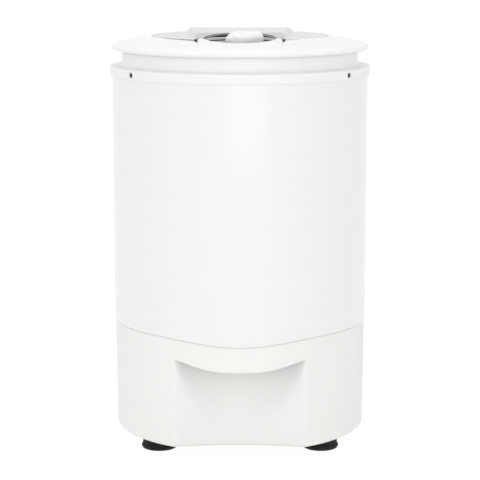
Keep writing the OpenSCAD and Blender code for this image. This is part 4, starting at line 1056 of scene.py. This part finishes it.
def nose_height(r):
    """Height of the tongue's rounded front end."""
    points = ((130, 590), (153, 584.1), (163, 581.6), (168, 580.1), (172, 578.3), (176, 575.6))
    for (r0, z0), (r1, z1) in zip(points, points[1:]):
        if r <= r1:
            return z0 + (z1 - z0) * (r - r0) / (r1 - r0)
    return points[-1][1]


def side_angle(r, off):
    """Angle of the tongue's side line at a radius, moved outwards by a distance."""
    low_angle, high_angle = 5.0, 40.0
    for _ in range(40):
        middle = (low_angle + high_angle) / 2
        x, y = r * math.sin(math.radians(middle)), -r * math.cos(math.radians(middle))
        if x > bridge_half(y):
            high_angle = middle
        else:
            low_angle = middle
    return low_angle + math.degrees(off / r)


def tongue_half(y):
    """Half width of the tongue, whose back corners draw in from the window."""
    return bridge_half(y) - 4.4 * min(max((y + 119) / 22, 0), 1)


def inner_reach(angle):
    """Where the tongue's top ends along a ray: at the well, or at the bridge's front end."""
    cos, sin = math.cos(math.radians(angle)), math.sin(math.radians(angle))
    line = TONGUE_BACK / cos
    inside = WELL_R ** 2 - (KNOB_Y * sin) ** 2
    return max(line, KNOB_Y * cos + math.sqrt(inside)) if inside > 0 else line


def lid_angle(column, r):
    """Angle of a column of the lid's mesh at a radius. Columns keep to the tongue's sides."""
    kind, value = column
    if kind == "off":
        side, off = value
        return side * side_angle(r, off)
    if kind == "mid":
        return value * side_angle(r, -4.5)
    edge = side_angle(r, 6.0)
    return edge + (360 - 2 * edge) * value


def lid_columns():
    """The lid's columns right round: close together at the tongue's two sides, even elsewhere."""
    offs = [-4.5, -3.2, -2.5, -2.0, -1.6, -1.25, -0.95, -0.7, -0.4, -0.1, 0.2, 0.5, 0.9, 1.5, 3.0,
            6.0]
    columns = [("off", (-1, off)) for off in reversed(offs)]
    columns += [("mid", -1 + 2 * i / 44) for i in range(1, 44)]
    columns += [("off", (1, off)) for off in offs]
    columns += [("ring", i / 170) for i in range(1, 170)]
    return columns


def lid_top(r, angle, sizes):
    """Height of the lid's upper side at a place. Beside the tongue, the ring is a little sunk at
    its inner edge, more on the left, and a groove that fades outwards marks each corner."""
    turned = angle if angle <= 180 else angle - 360
    cone = cone_height(r)
    if abs(turned) > 60:
        return cone
    x, y = r * math.sin(math.radians(turned)), -r * math.cos(math.radians(turned))
    inset = tongue_half(y) - abs(x)
    if r < WINDOW_R:
        return max(min(tongue_height(y, sizes), PANE_SEAT_Z + 5 * inset), PANE_SEAT_Z)
    sunk, span = (1.5, 60) if turned < 0 else (0.6, 30)
    near_rim = min(max((144 - r) / (144 - WINDOW_R), 0), 1)
    cone -= sunk * max(1 + min(inset, 0) / span, 0) * near_rim
    tongue = round_min(tongue_height(y, sizes), nose_height(r), 1.5)
    side = min(max((inset + 0.2) / 1.1, 0), 1)
    height = cone + (tongue - cone) * side * side * (3 - 2 * side)
    deep = 3.4 * near_rim ** 0.7
    crease = 0.7 * min(max((174 - r) / 10, 0), 1)
    height -= deep * max(1 - abs(inset) / 3.6, 0) + crease * max(1 - abs(inset + 0.2) / 0.9, 0)
    return max(height, PANE_SEAT_Z) if r < 150 else height


def lid_loop(column, sizes):
    """Closed outline of the lid frame in one column."""
    points = []

    def spot(r, z=None):
        angle = lid_angle(column, r)
        points.append(polar(angle, r, lid_top(r, angle, sizes) if z is None else z))

    edge_angle = lid_angle(column, WINDOW_R)
    turned = edge_angle if edge_angle <= 180 else edge_angle - 360
    x, y = WINDOW_R * math.sin(math.radians(turned)), -WINDOW_R * math.cos(math.radians(turned))
    in_tongue = abs(turned) < 45 and bridge_half(y) - abs(x) > -0.05
    start = WINDOW_R
    if in_tongue:
        start = inner_reach(turned)
        start = inner_reach(lid_angle(column, start))
        start = inner_reach(lid_angle(column, start))
    radii = [start + (WINDOW_R - start) * i / 9 for i in range(9)]
    radii += [WINDOW_R + gap for gap in (0, 0.3, 1, 3, 6)]
    radii += [134, 137, 141, 145, 149, 153, 157, 160, 163]
    if start > WINDOW_R - 1:
        radii = [start + (165.5 - start) * i / len(radii) for i in range(len(radii))]
    for r in radii:
        ring = in_tongue or r > WINDOW_R + 0.1
        spot(r, None if ring else lid_top(WINDOW_R + 0.3, edge_angle, sizes) - 0.4)
    for r in (165.5, 168, 170, 172, 174, 176, 178):
        spot(r)
    for turn in (75, 62, 49, 36, 24, 12, 0, -12, -24, -36, -49, -62, -75, -88):
        a = math.radians(turn)
        spot(FLANGE_R + FLANGE_ROUND * math.cos(a), FLANGE_Z + FLANGE_ROUND * math.sin(a))
    for r, z in ((172.1, 567.0), (171.6, 567.4), (171.6, 568.4), (172.1, 568.8), (178.6, 568.8),
                 (179.4, 569.6), (179.8, 570.8), (177.6, 573.8), (max(PANE_SEAT_R, start), 581.0)):
        spot(r, z)
    if in_tongue:
        for z in (581.0, 581.0, 583.7, 584.0):
            spot(start, z)
    else:
        for r, z in ((124.5, 581.0), (124.0, 581.5), (124.0, 583.7), (WINDOW_R, 583.7)):
            spot(r, z)
    return points


class DRYER_OT_lid_frame(bpy.types.Operator):
    """Builds the lid's rounded flange, sloped ring, tongue and hinge knuckles"""
    bl_idname = "dryer.lid_frame"
    bl_label = "Lid frame"

    def execute(self, context):
        sizes = context.scene.dryer_sizes
        lid = Body()
        lid.loft([lid_loop(column, sizes) for column in lid_columns()])
        for x in HINGE_XS:
            for side in (-1, 1):
                middle = x + side * 8.4
                lid.rod((middle - 3, HINGE_Y, HINGE_Z), (middle + 3, HINGE_Y, HINGE_Z), HINGE_R,
                        0.6, 40)
                lid.block((middle - 3, 166, 558), (middle + 3, 176, 568), 0.6)
        place("lid_shell", lid.mesh("lid_shell"), "lid", "lid_plastic",
              ("lid_frame",))
        return {"FINISHED"}


def window_top(x, y, sizes):
    """Height of the window and its raised bridge at a place."""
    inset = bridge_half(y) - abs(x)
    back = 98 - y
    rise = round_min(tongue_height(y, sizes) - PANE_TOP, 1.25 * min(inset, 99), 1.6)
    rise = round_min(rise, 1.1 * back, 1.6)
    return PANE_TOP + round_max(rise, 0.0, 1.2)


class DRYER_OT_window(bpy.types.Operator):
    """Builds the smoked window with its raised bridge"""
    bl_idname = "dryer.window"
    bl_label = "Lid window"

    def execute(self, context):
        sizes = context.scene.dryer_sizes
        window = Body()
        radius = WINDOW_R - 0.5
        back = -TONGUE_BACK
        # rows run from the front to the back: beside the tongue, round the well, then behind it
        rows = [back - gap for gap in (13.2, 12.4, 11, 9, 7, 5, 3, 1.2, 0.2, 0)]
        start = math.degrees(math.acos((-back - KNOB_Y) / WELL_R))
        steps = 46
        rows += [-KNOB_Y - WELL_R * math.cos(math.radians(start + (180 - start) * i / steps))
                 for i in range(1, steps + 1)]
        y = rows[-1]
        while y < 88:
            y += 4
            rows.append(y)
        rows += [90, 91, 92, 92.6, 93.2, 94, 95, 96, 97, 97.5, 98, 98.6, 99.4, 101, 104, 108, 112,
                 116, 119, 121.5, 123.5, 124.6, 125.0]
        # distances from the bridge's side line, close together where its edge rounds over
        insets = [9.0, 7.5, 6.6, 6.0, 5.6, 5.2, 4.8, 4.4, 4.0, 3.4, 2.6, 1.8, 1.1, 0.7, 0.3, -0.1,
                  -0.5, -1.0]

        def row_points(y, side):
            """Points of one row, from the middle or the opening at it out to the window's edge."""
            far = math.sqrt(max(radius ** 2 - y ** 2, 0))
            half = bridge_half(min(y, 98))
            near = 0.0
            if y < back + 0.05:
                near = half + 0.3 + 2.7 * min(max((-99 - y) / 10, 0), 1)
            elif y < -KNOB_Y + WELL_R - 0.001:
                near = math.sqrt(max(WELL_R ** 2 - (y + KNOB_Y) ** 2, 0))
            xs = []
            flat = half - insets[0]
            for i in range(8):
                xs.append(near + (flat - near) * i / 8)
            xs += [half - inset for inset in insets]
            outside = half + 1.0
            for i in range(1, 13):
                xs.append(outside + (far - outside) * i / 12)
            return [(side * min(max(x, near), max(far, near)), y) for x in xs]

        for side in (-1, 1):
            top, bottom = [], []
            for y in rows:
                line = row_points(y, side)
                top.append([(x, v, window_top(x, v, sizes) if y > back + 0.05 else PANE_TOP)
                            for x, v in line])
                bottom.append([(x, v, z - 3.0) for x, v, z in top[-1]])
            count, wide = len(rows), len(top[0])
            base = len(window.points)
            for grid in (top, bottom):
                for line in grid:
                    window.points.extend(line)
            lower = base + count * wide
            for i in range(count - 1):
                for k in range(wide - 1):
                    a, b = base + i * wide + k, base + (i + 1) * wide + k
                    window.faces.append((a, a + 1, b + 1, b))
                    a, b = lower + i * wide + k, lower + (i + 1) * wide + k
                    window.faces.append((a, b, b + 1, a + 1))
            for i in range(count - 1):
                a, b = base + i * wide, base + (i + 1) * wide
                if rows[i + 1] <= -KNOB_Y + WELL_R + 0.001:
                    window.faces.append((a, b, b + lower - base, a + lower - base))
                a, b = a + wide - 1, b + wide - 1
                window.faces.append((a, a + lower - base, b + lower - base, b))
            for i in (0, count - 1):
                for k in range(wide - 1):
                    a = base + i * wide + k
                    window.faces.append((a, a + lower - base, a + lower - base + 1, a + 1))
        place("window_pane", window.mesh("window_pane"), "lid", "smoked_plastic",
              ("lid_window",))
        # the dark sawn edge, and at each of the tongue's back corners a dark plate that is painted
        # shade in the gap
        rim = Body()
        for side in (-1, 1):
            loops = []
            for i in range(61):
                first = side_angle(WINDOW_R, -2.2)
                angle = side * (first + (150 - first) * i / 60)
                loops.append([polar(angle, WINDOW_R - gap, z) for gap, z in (
                    (0.4, 583.8), (0.1, 583.9), (0.1, 586.5), (0.4, 586.66))])
            rim.loft(loops, closed=False, caps=True)
            # a thin near black plate lying in the gap beside the tongue: painted shade
            gap = []
            for y in (-110.5, -107, -104, -100, back + 1):
                x0, x1 = side * (tongue_half(y) - 1.0), side * (bridge_half(y) + 3.4)
                gap.append([(x0, y, 583.8), (x1, y, 583.8), (x1, y, 584.5), (x0, y, 584.5)])
            rim.loft(gap, closed=False, caps=True)
        place("window_edge_and_painted_gap_shade", rim.mesh("window_edge_and_painted_gap_shade"), "lid", "sawn_edge_and_gap_shade")
        return {"FINISHED"}


class DRYER_OT_well(bpy.types.Operator):
    """Builds the black cup around the knob, with its grey rim and the grey band round its wall; the
    cup's black and the rim's grey are painted shade in the hollow
    """
    bl_idname = "dryer.well"
    bl_label = "Knob well"

    def execute(self, context):
        sizes = context.scene.dryer_sizes
        # the cup, the bright band and step round its wall, and its rim, which follows the tongue
        cups, bands, lower, rims = [], [], [], []
        for i in range(160):
            angle = 360 * i / 160
            y = -KNOB_Y - math.cos(math.radians(angle)) * 49
            rim = tongue_height(y, sizes) - 1.65 - 0.75 * math.cos(math.radians(angle))
            # the band's top sinks towards the back, where the cup's black, which is painted shade,
            # shows above it
            from_front = math.degrees(math.acos(math.cos(math.radians(angle))))
            groove = 2.2 * min(max((from_front - 118) / 30, 0), 1)
            top = min(590, rim - 1.8) - groove
            middle = min(583.7, top - 0.4)
            for loops, profile in (
                    (cups, [(5.4, 578.7), (47.6, 578.7), (48, 579), (48.3, 579.6), (48.3, 582),
                            (48.3, rim - 2), (48.4, rim - 1.4), (48.7, rim - 1.2), (49, rim - 1.5),
                            (49, 577.2), (48.5, 576.7), (5.4, 576.7)]),
                    (bands, [(48.4, middle), (45.7, middle + 0.1), (45.3, (middle + top) / 2),
                             (45.7, top - 0.1), (48.4, top)]),
                    (lower, [(48.4, 578.8), (44.9, 578.8), (45.3, 581), (45.7, middle - 1.5),
                             (48.4, middle - 1.4)]),
                    (rims, [(47.4, rim - 1.1), (47.4, rim - 0.2), (47.7, rim), (48.7, rim),
                            (49, rim - 0.3), (49, rim - 1.1)])):
                loops.append([(x, y - KNOB_Y, z)
                              for x, y, z in (polar(angle, r, h) for r, h in profile)])
        # the cup's black and the rim's grey finishes are painted shade in the hollow round the knob
        for name, loops, finish, nodes in (("well_cup", cups, "well_plastic", ("knob_well",)),
                                           ("well_band", bands, "well_band", ()),
                                           ("well_step", lower, "well_band", ()),
                                           ("well_rim", rims, "rim_painted_shade_plastic", ())):
            body = Body()
            body.loft(loops)
            place(name, body.mesh(name), "lid", finish, nodes)
        return {"FINISHED"}


# ---------------------------------------------------------------- knob

KNOB_ROUND = 9              # round between the knob's wall and its top


def knob_reach(angle):
    """How far the knob's outline is from its axis: a round body that runs out into a lever."""
    off = abs((angle - 12 + 180) % 360 - 180)
    tip, end, round_part = 23.5, 9.5, 20.0
    lean = math.degrees(math.acos((round_part - end) / tip))
    if off > lean:
        return round_part
    side = math.radians(off)
    if off > 17:
        return round_part / math.cos(math.radians(off - lean))
    return tip * math.cos(side) + math.sqrt(end ** 2 - (tip * math.sin(side)) ** 2)


class DRYER_OT_knob(bpy.types.Operator):
    """Sculpts the latch knob: a domed body with a lever and a shallow dish for the thumb"""
    bl_idname = "dryer.knob"
    bl_label = "Latch knob"

    def execute(self, context):
        foot, top = low("knob").z, high("knob").z
        # each loop: how far it is drawn in, and its share of the wall's height below the round
        profile = [(0, 0.0), (0, 0.15), (0, 0.35), (0, 0.5)]
        profile += [(KNOB_ROUND * (1 - math.cos(math.radians(t))), None) for t in range(8, 91, 6)]
        loops = []
        for inset, share in profile:
            loop = []
            for i in range(144):
                angle = 360 * i / 144
                r = knob_reach(angle) - inset
                x, y = r * math.cos(math.radians(angle)), r * math.sin(math.radians(angle)) - KNOB_Y
                if share is None:
                    z = top - KNOB_ROUND + math.sqrt(
                        max(KNOB_ROUND ** 2 - (KNOB_ROUND - inset) ** 2, 0))
                else:
                    z = foot + 0.4 + share * 18
                loop.append((x, y, z))
            loops.append(loop)
        for share in (0.92, 0.8, 0.66, 0.5, 0.34, 0.18, 0.04):
            loop = []
            for i in range(144):
                angle = 360 * i / 144
                r = (knob_reach(angle) - KNOB_ROUND) * share
                loop.append((r * math.cos(math.radians(angle)),
                             r * math.sin(math.radians(angle)) - KNOB_Y, top))
            loops.append(loop)
        body = Body()
        body.loft(loops, closed=False, caps=True)
        dished = []
        for x, y, z in body.points:
            near = 1.8 * math.exp(-((x - 9) / 10) ** 2 - ((y + 104) / 7) ** 2)
            crown = min(((x - 6) / 30) ** 2 + ((y + 88) / 24) ** 2, 1)
            left = (max(-5 - x, 0) / 12.6) ** 1.2
            sunk = 1.6 * near + 0.9 * crown + 3.6 * left
            dished.append((x, y, z - sunk * min(max((z - 584) / 9, 0), 1)))
        body.points = dished
        place("knob_body", body.mesh("knob_body"), "latch", "knob_plastic",
              ("knob",))
        return {"FINISHED"}


# ---------------------------------------------------------------- stage

# The camera that the outlines and ellipses of the photograph fit, in metres and degrees.
CAMERA_SPOT = (0, -2.4926, 0.7326)
CAMERA_TILT = 10.062
FOCAL_PIXELS = 1740.3
FRAME_PIXELS = 480


def seen_directly(tree):
    """One for a ray from the camera, a mirror or a clear surface, and nought for the rest."""
    path = add(tree, "ShaderNodeLightPath")
    seen = add(tree, MATH, {"operation": "MAXIMUM"},
               {0: path.outputs["Is Camera Ray"], 1: path.outputs["Is Glossy Ray"]})
    return add(tree, MATH, {"operation": "MAXIMUM"},
               {0: seen, 1: path.outputs["Is Transmission Ray"]})


class DRYER_OT_stage(bpy.types.Operator):
    """Sets the pale floor, the soft studio light and the camera"""
    bl_idname = "dryer.stage"
    bl_label = "Stage"

    def execute(self, context):
        light = context.scene.dryer_light
        size = 30.0
        mesh = bpy.data.meshes.new("floor")
        corners = [(-size, -size, 0), (size, -size, 0), (size, size, 0), (-size, size, 0)]
        mesh.from_pydata(corners, [], [(0, 1, 2, 3)])
        floor = bpy.data.objects.new("floor", mesh)
        context.scene.collection.objects.link(floor)
        material = bpy.data.materials.new("matt_white_paper")
        material.use_nodes = True
        tree = material.node_tree
        shader = tree.nodes["Principled BSDF"]
        shader.inputs["Base Color"].default_value = linear("#FCFCFC") + (1.0,)
        shader.inputs["Roughness"].default_value = 0.9
        where = add(tree, "ShaderNodeTexCoord").outputs["Object"]
        away = add(tree, "ShaderNodeVectorMath", {"operation": "LENGTH"}, {0: where})
        fade = add(tree, "ShaderNodeMapRange",
                   {"interpolation_type": "SMOOTHSTEP", "From Min": 0.18, "From Max": 0.55,
                    "To Min": light.floor_share, "To Max": 1.0}, {"Value": away.outputs["Value"]})
        share = add(tree, MATH, {"operation": "MULTIPLY"}, {0: seen_directly(tree), 1: fade})
        white = add(tree, "ShaderNodeEmission", {"Strength": 1.03, "Color": (1, 1, 1, 1)})
        mixed = add(tree, "ShaderNodeMixShader", None, {0: share, 1: shader, 2: white})
        tree.links.new(mixed.outputs[0], tree.nodes["Material Output"].inputs["Surface"])
        mesh.materials.append(material)

        world = bpy.data.worlds.new("soft_white_studio")
        context.scene.world = world
        world.use_nodes = True
        tree = world.node_tree
        towards = add(tree, "ShaderNodeSeparateXYZ", None,
                      {0: add(tree, "ShaderNodeTexCoord").outputs["Generated"]})
        dome = add(tree, "ShaderNodeMapRange",
                   {"interpolation_type": "SMOOTHSTEP", "From Min": 0.15, "From Max": 0.95,
                    "To Min": light.horizon_level, "To Max": light.zenith_level},
                   {"Value": towards.outputs[2]})
        lean = add(tree, MATH, {"operation": "MULTIPLY_ADD", 1: -light.side_lean, 2: 1.0},
                   {0: towards.outputs[0]})
        dome = add(tree, MATH, {"operation": "MULTIPLY"}, {0: dome, 1: lean})
        level = add(tree, "ShaderNodeMix", {"data_type": "FLOAT", 3: 1.0},
                    {0: seen_directly(tree), 2: dome})
        sky = tree.nodes["Background"]
        sky.inputs["Color"].default_value = (1, 1, 1, 1)
        tree.links.new(level.outputs[0], sky.inputs["Strength"])

        for name, spot, aim, wide, tall, power in (
                ("key_softbox", (0.3, -3.0, 0.8), (0.0, 0.0, 0.35), 2.2, 1.6, light.key_power),
                ("top_softbox", (0.0, -0.2, 2.4), (0.0, 0.0, 0.5), 1.4, 1.4, light.top_power)):
            data = bpy.data.lights.new(name, "AREA")
            data.shape = "RECTANGLE"
            data.size, data.size_y = wide, tall
            data.energy = power
            lamp = bpy.data.objects.new(name, data)
            lamp.location = spot
            lamp.rotation_euler = (Vector(aim) - Vector(spot)).to_track_quat("-Z", "Y").to_euler()
            context.scene.collection.objects.link(lamp)

        camera = bpy.data.cameras.new("camera")
        camera.sensor_fit = "HORIZONTAL"
        camera.sensor_width = 36.0
        camera.lens = FOCAL_PIXELS * camera.sensor_width / FRAME_PIXELS
        item = bpy.data.objects.new("camera", camera)
        item.location = CAMERA_SPOT
        item.rotation_euler = (math.radians(90 - CAMERA_TILT), 0, 0)
        context.scene.collection.objects.link(item)
        context.scene.camera = item
        context.scene.view_settings.view_transform = "Standard"
        return {"FINISHED"}


# ---------------------------------------------------------------- settings, panel and registration

def length(name, description, millimetres):
    """A length that is given in millimetres and kept in metres."""
    return bpy.props.FloatProperty(name=name, description=description, default=millimetres * MM,
                                   min=0.0, precision=4, unit="LENGTH", subtype="DISTANCE")


class DryerSizes(bpy.types.PropertyGroup):
    """Sizes of the fine shapes"""
    cabinet_radius: length("Cabinet radius", "Outer radius of the cabinet's sheet", 181.5)
    seam_height: length("Seam height", "Height of the seam under the cabinet, at the sides", 180.4)
    seam_gap: length("Seam gap", "Open gap along the seam", 0.8)
    seam_dip: length("Seam dip", "How far the seam dips at the front", 8)
    seam_half_width: length("Seam half width", "Half width of the dip in the seam", 120)
    lip_low: length("Lip height", "Height of the scoop's front lip, at the middle", 137.0)
    lip_rise: length("Lip rise", "How far the lip rises towards its ends", 15.2)
    lip_half_width: length("Lip half width", "Half width of the lip's curve", 110)
    roof_height: length("Roof height", "Height of the scoop's roof", 165)
    channel_radius: length("Channel radius", "Radius of the shallow channel", 465)
    channel_floor: length("Channel floor", "Distance of the channel's middle from the axis", 147)
    scoop_radius: length("Scoop radius", "Radius of the deep scoop", 121)
    scoop_floor: length("Scoop floor", "Distance of the deep scoop from the axis, at the lip", 112)
    scoop_tilt_degrees: bpy.props.FloatProperty(
        name="Scoop tilt", description="Slope of the deep scoop from upright, in degrees",
        default=19.0, min=5.0, max=30.0)
    tongue_slope_degrees: bpy.props.FloatProperty(
        name="Tongue slope", description="Slope of the lid's tongue, in degrees",
        default=4.9, min=1.0, max=8.0)
    band_radius: length("Band radius", "Outer radius of the trim band", 185)
    neck_radius: length("Neck radius", "Outer radius of the neck under the lid", 168)
    perforation_radius: length("Perforation radius", "Radius of the drum's perforations", 2.4)
    perforation_columns: bpy.props.IntProperty(
        name="Perforation columns", description="Perforations around the drum", default=36, min=8)
    perforation_rows: bpy.props.IntProperty(
        name="Perforation rows", description="Rows of perforations up the drum", default=12, min=2)


def colour(name, description, code):
    """A colour that is given as an sRGB hex code and kept linear."""
    return bpy.props.FloatVectorProperty(name=name, description=description, default=linear(code),
                                         size=3, min=0.0, max=1.0, subtype="COLOR")


class DryerColours(bpy.types.PropertyGroup):
    """Colours of the surfaces that show"""
    base: colour("Base", "Colour of the base moulding", "#F4F4F1")
    cabinet: colour("Cabinet", "Colour of the cabinet's enamel", "#F3F3F3")
    ring: colour("Top ring", "Colour of the trim band and neck", "#F6F6F4")
    lid: colour("Lid", "Colour of the lid's frame", "#FAFAF9")
    knob: colour("Knob", "Colour of the latch knob", "#FEFEFD")
    window: colour("Window", "Tint of the smoked window", "#97999B")
    # the cup's near black is painted shade in the hollow round the knob
    well: colour("Well", "Colour of the cup around the knob", "#202124")
    well_band: colour("Well band", "Colour of the bands and rim of the cup", "#EEEFEF")
    rubber: colour("Feet", "Colour of the rubber feet", "#040405")


class DryerLight(bpy.types.PropertyGroup):
    """Levels of the studio light"""
    horizon_level: bpy.props.FloatProperty(
        name="Horizon level", description="Strength of the dome near the horizon", default=1.13,
        min=0.0)
    zenith_level: bpy.props.FloatProperty(
        name="Zenith level", description="Strength of the dome overhead", default=0.46, min=0.0)
    side_lean: bpy.props.FloatProperty(
        name="Side lean", description="How much brighter the left of the dome is", default=0.1)
    key_power: bpy.props.FloatProperty(
        name="Key power", description="Power of the front softbox", default=12.5, min=0.0,
        unit="POWER")
    top_power: bpy.props.FloatProperty(
        name="Top power", description="Power of the overhead softbox", default=10.0, min=0.0,
        unit="POWER")
    floor_share: bpy.props.FloatProperty(
        name="Floor share", description="How much of the floor near the machine shines by itself",
        default=0.95, min=0.0, max=1.0, subtype="FACTOR")


OPERATORS = (DRYER_OT_finishes, DRYER_OT_base, DRYER_OT_feet, DRYER_OT_cabinet,
             DRYER_OT_top_ring, DRYER_OT_screws, DRYER_OT_drum, DRYER_OT_lid_frame,
             DRYER_OT_window, DRYER_OT_well, DRYER_OT_knob, DRYER_OT_stage)


class VIEW3D_PT_spin_dryer(bpy.types.Panel):
    """Lists the pieces of the spin dryer and the settings that shape them"""
    bl_label = "Spin Dryer"
    bl_idname = "VIEW3D_PT_spin_dryer"
    bl_space_type = "VIEW_3D"
    bl_region_type = "UI"
    bl_category = "Spin Dryer"

    def draw(self, context):
        column = self.layout.column(align=True)
        for kind in OPERATORS:
            column.operator(kind.bl_idname, text=kind.bl_label)
        scene = context.scene
        for settings in (scene.dryer_sizes, scene.dryer_colours, scene.dryer_light):
            box = self.layout.box()
            for name in settings.__annotations__:
                box.prop(settings, name)


CLASSES = (DryerSizes, DryerColours, DryerLight) + OPERATORS + (VIEW3D_PT_spin_dryer,)


def register():
    for kind in CLASSES:
        bpy.utils.register_class(kind)
    bpy.types.Scene.dryer_sizes = bpy.props.PointerProperty(type=DryerSizes)
    bpy.types.Scene.dryer_colours = bpy.props.PointerProperty(type=DryerColours)
    bpy.types.Scene.dryer_light = bpy.props.PointerProperty(type=DryerLight)


def unregister():
    del bpy.types.Scene.dryer_light
    del bpy.types.Scene.dryer_colours
    del bpy.types.Scene.dryer_sizes
    for kind in reversed(CLASSES):
        bpy.utils.unregister_class(kind)


def main():
    """Builds the machine's looks."""
    register()
    bpy.ops.dryer.finishes()
    bpy.ops.dryer.base()
    bpy.ops.dryer.feet()
    bpy.ops.dryer.cabinet()
    bpy.ops.dryer.top_ring()
    bpy.ops.dryer.screws()
    bpy.ops.dryer.drum()
    bpy.ops.dryer.lid_frame()
    bpy.ops.dryer.window()
    bpy.ops.dryer.well()
    bpy.ops.dryer.knob()
    bpy.ops.dryer.stage()


if __name__ == "__main__":
    main()
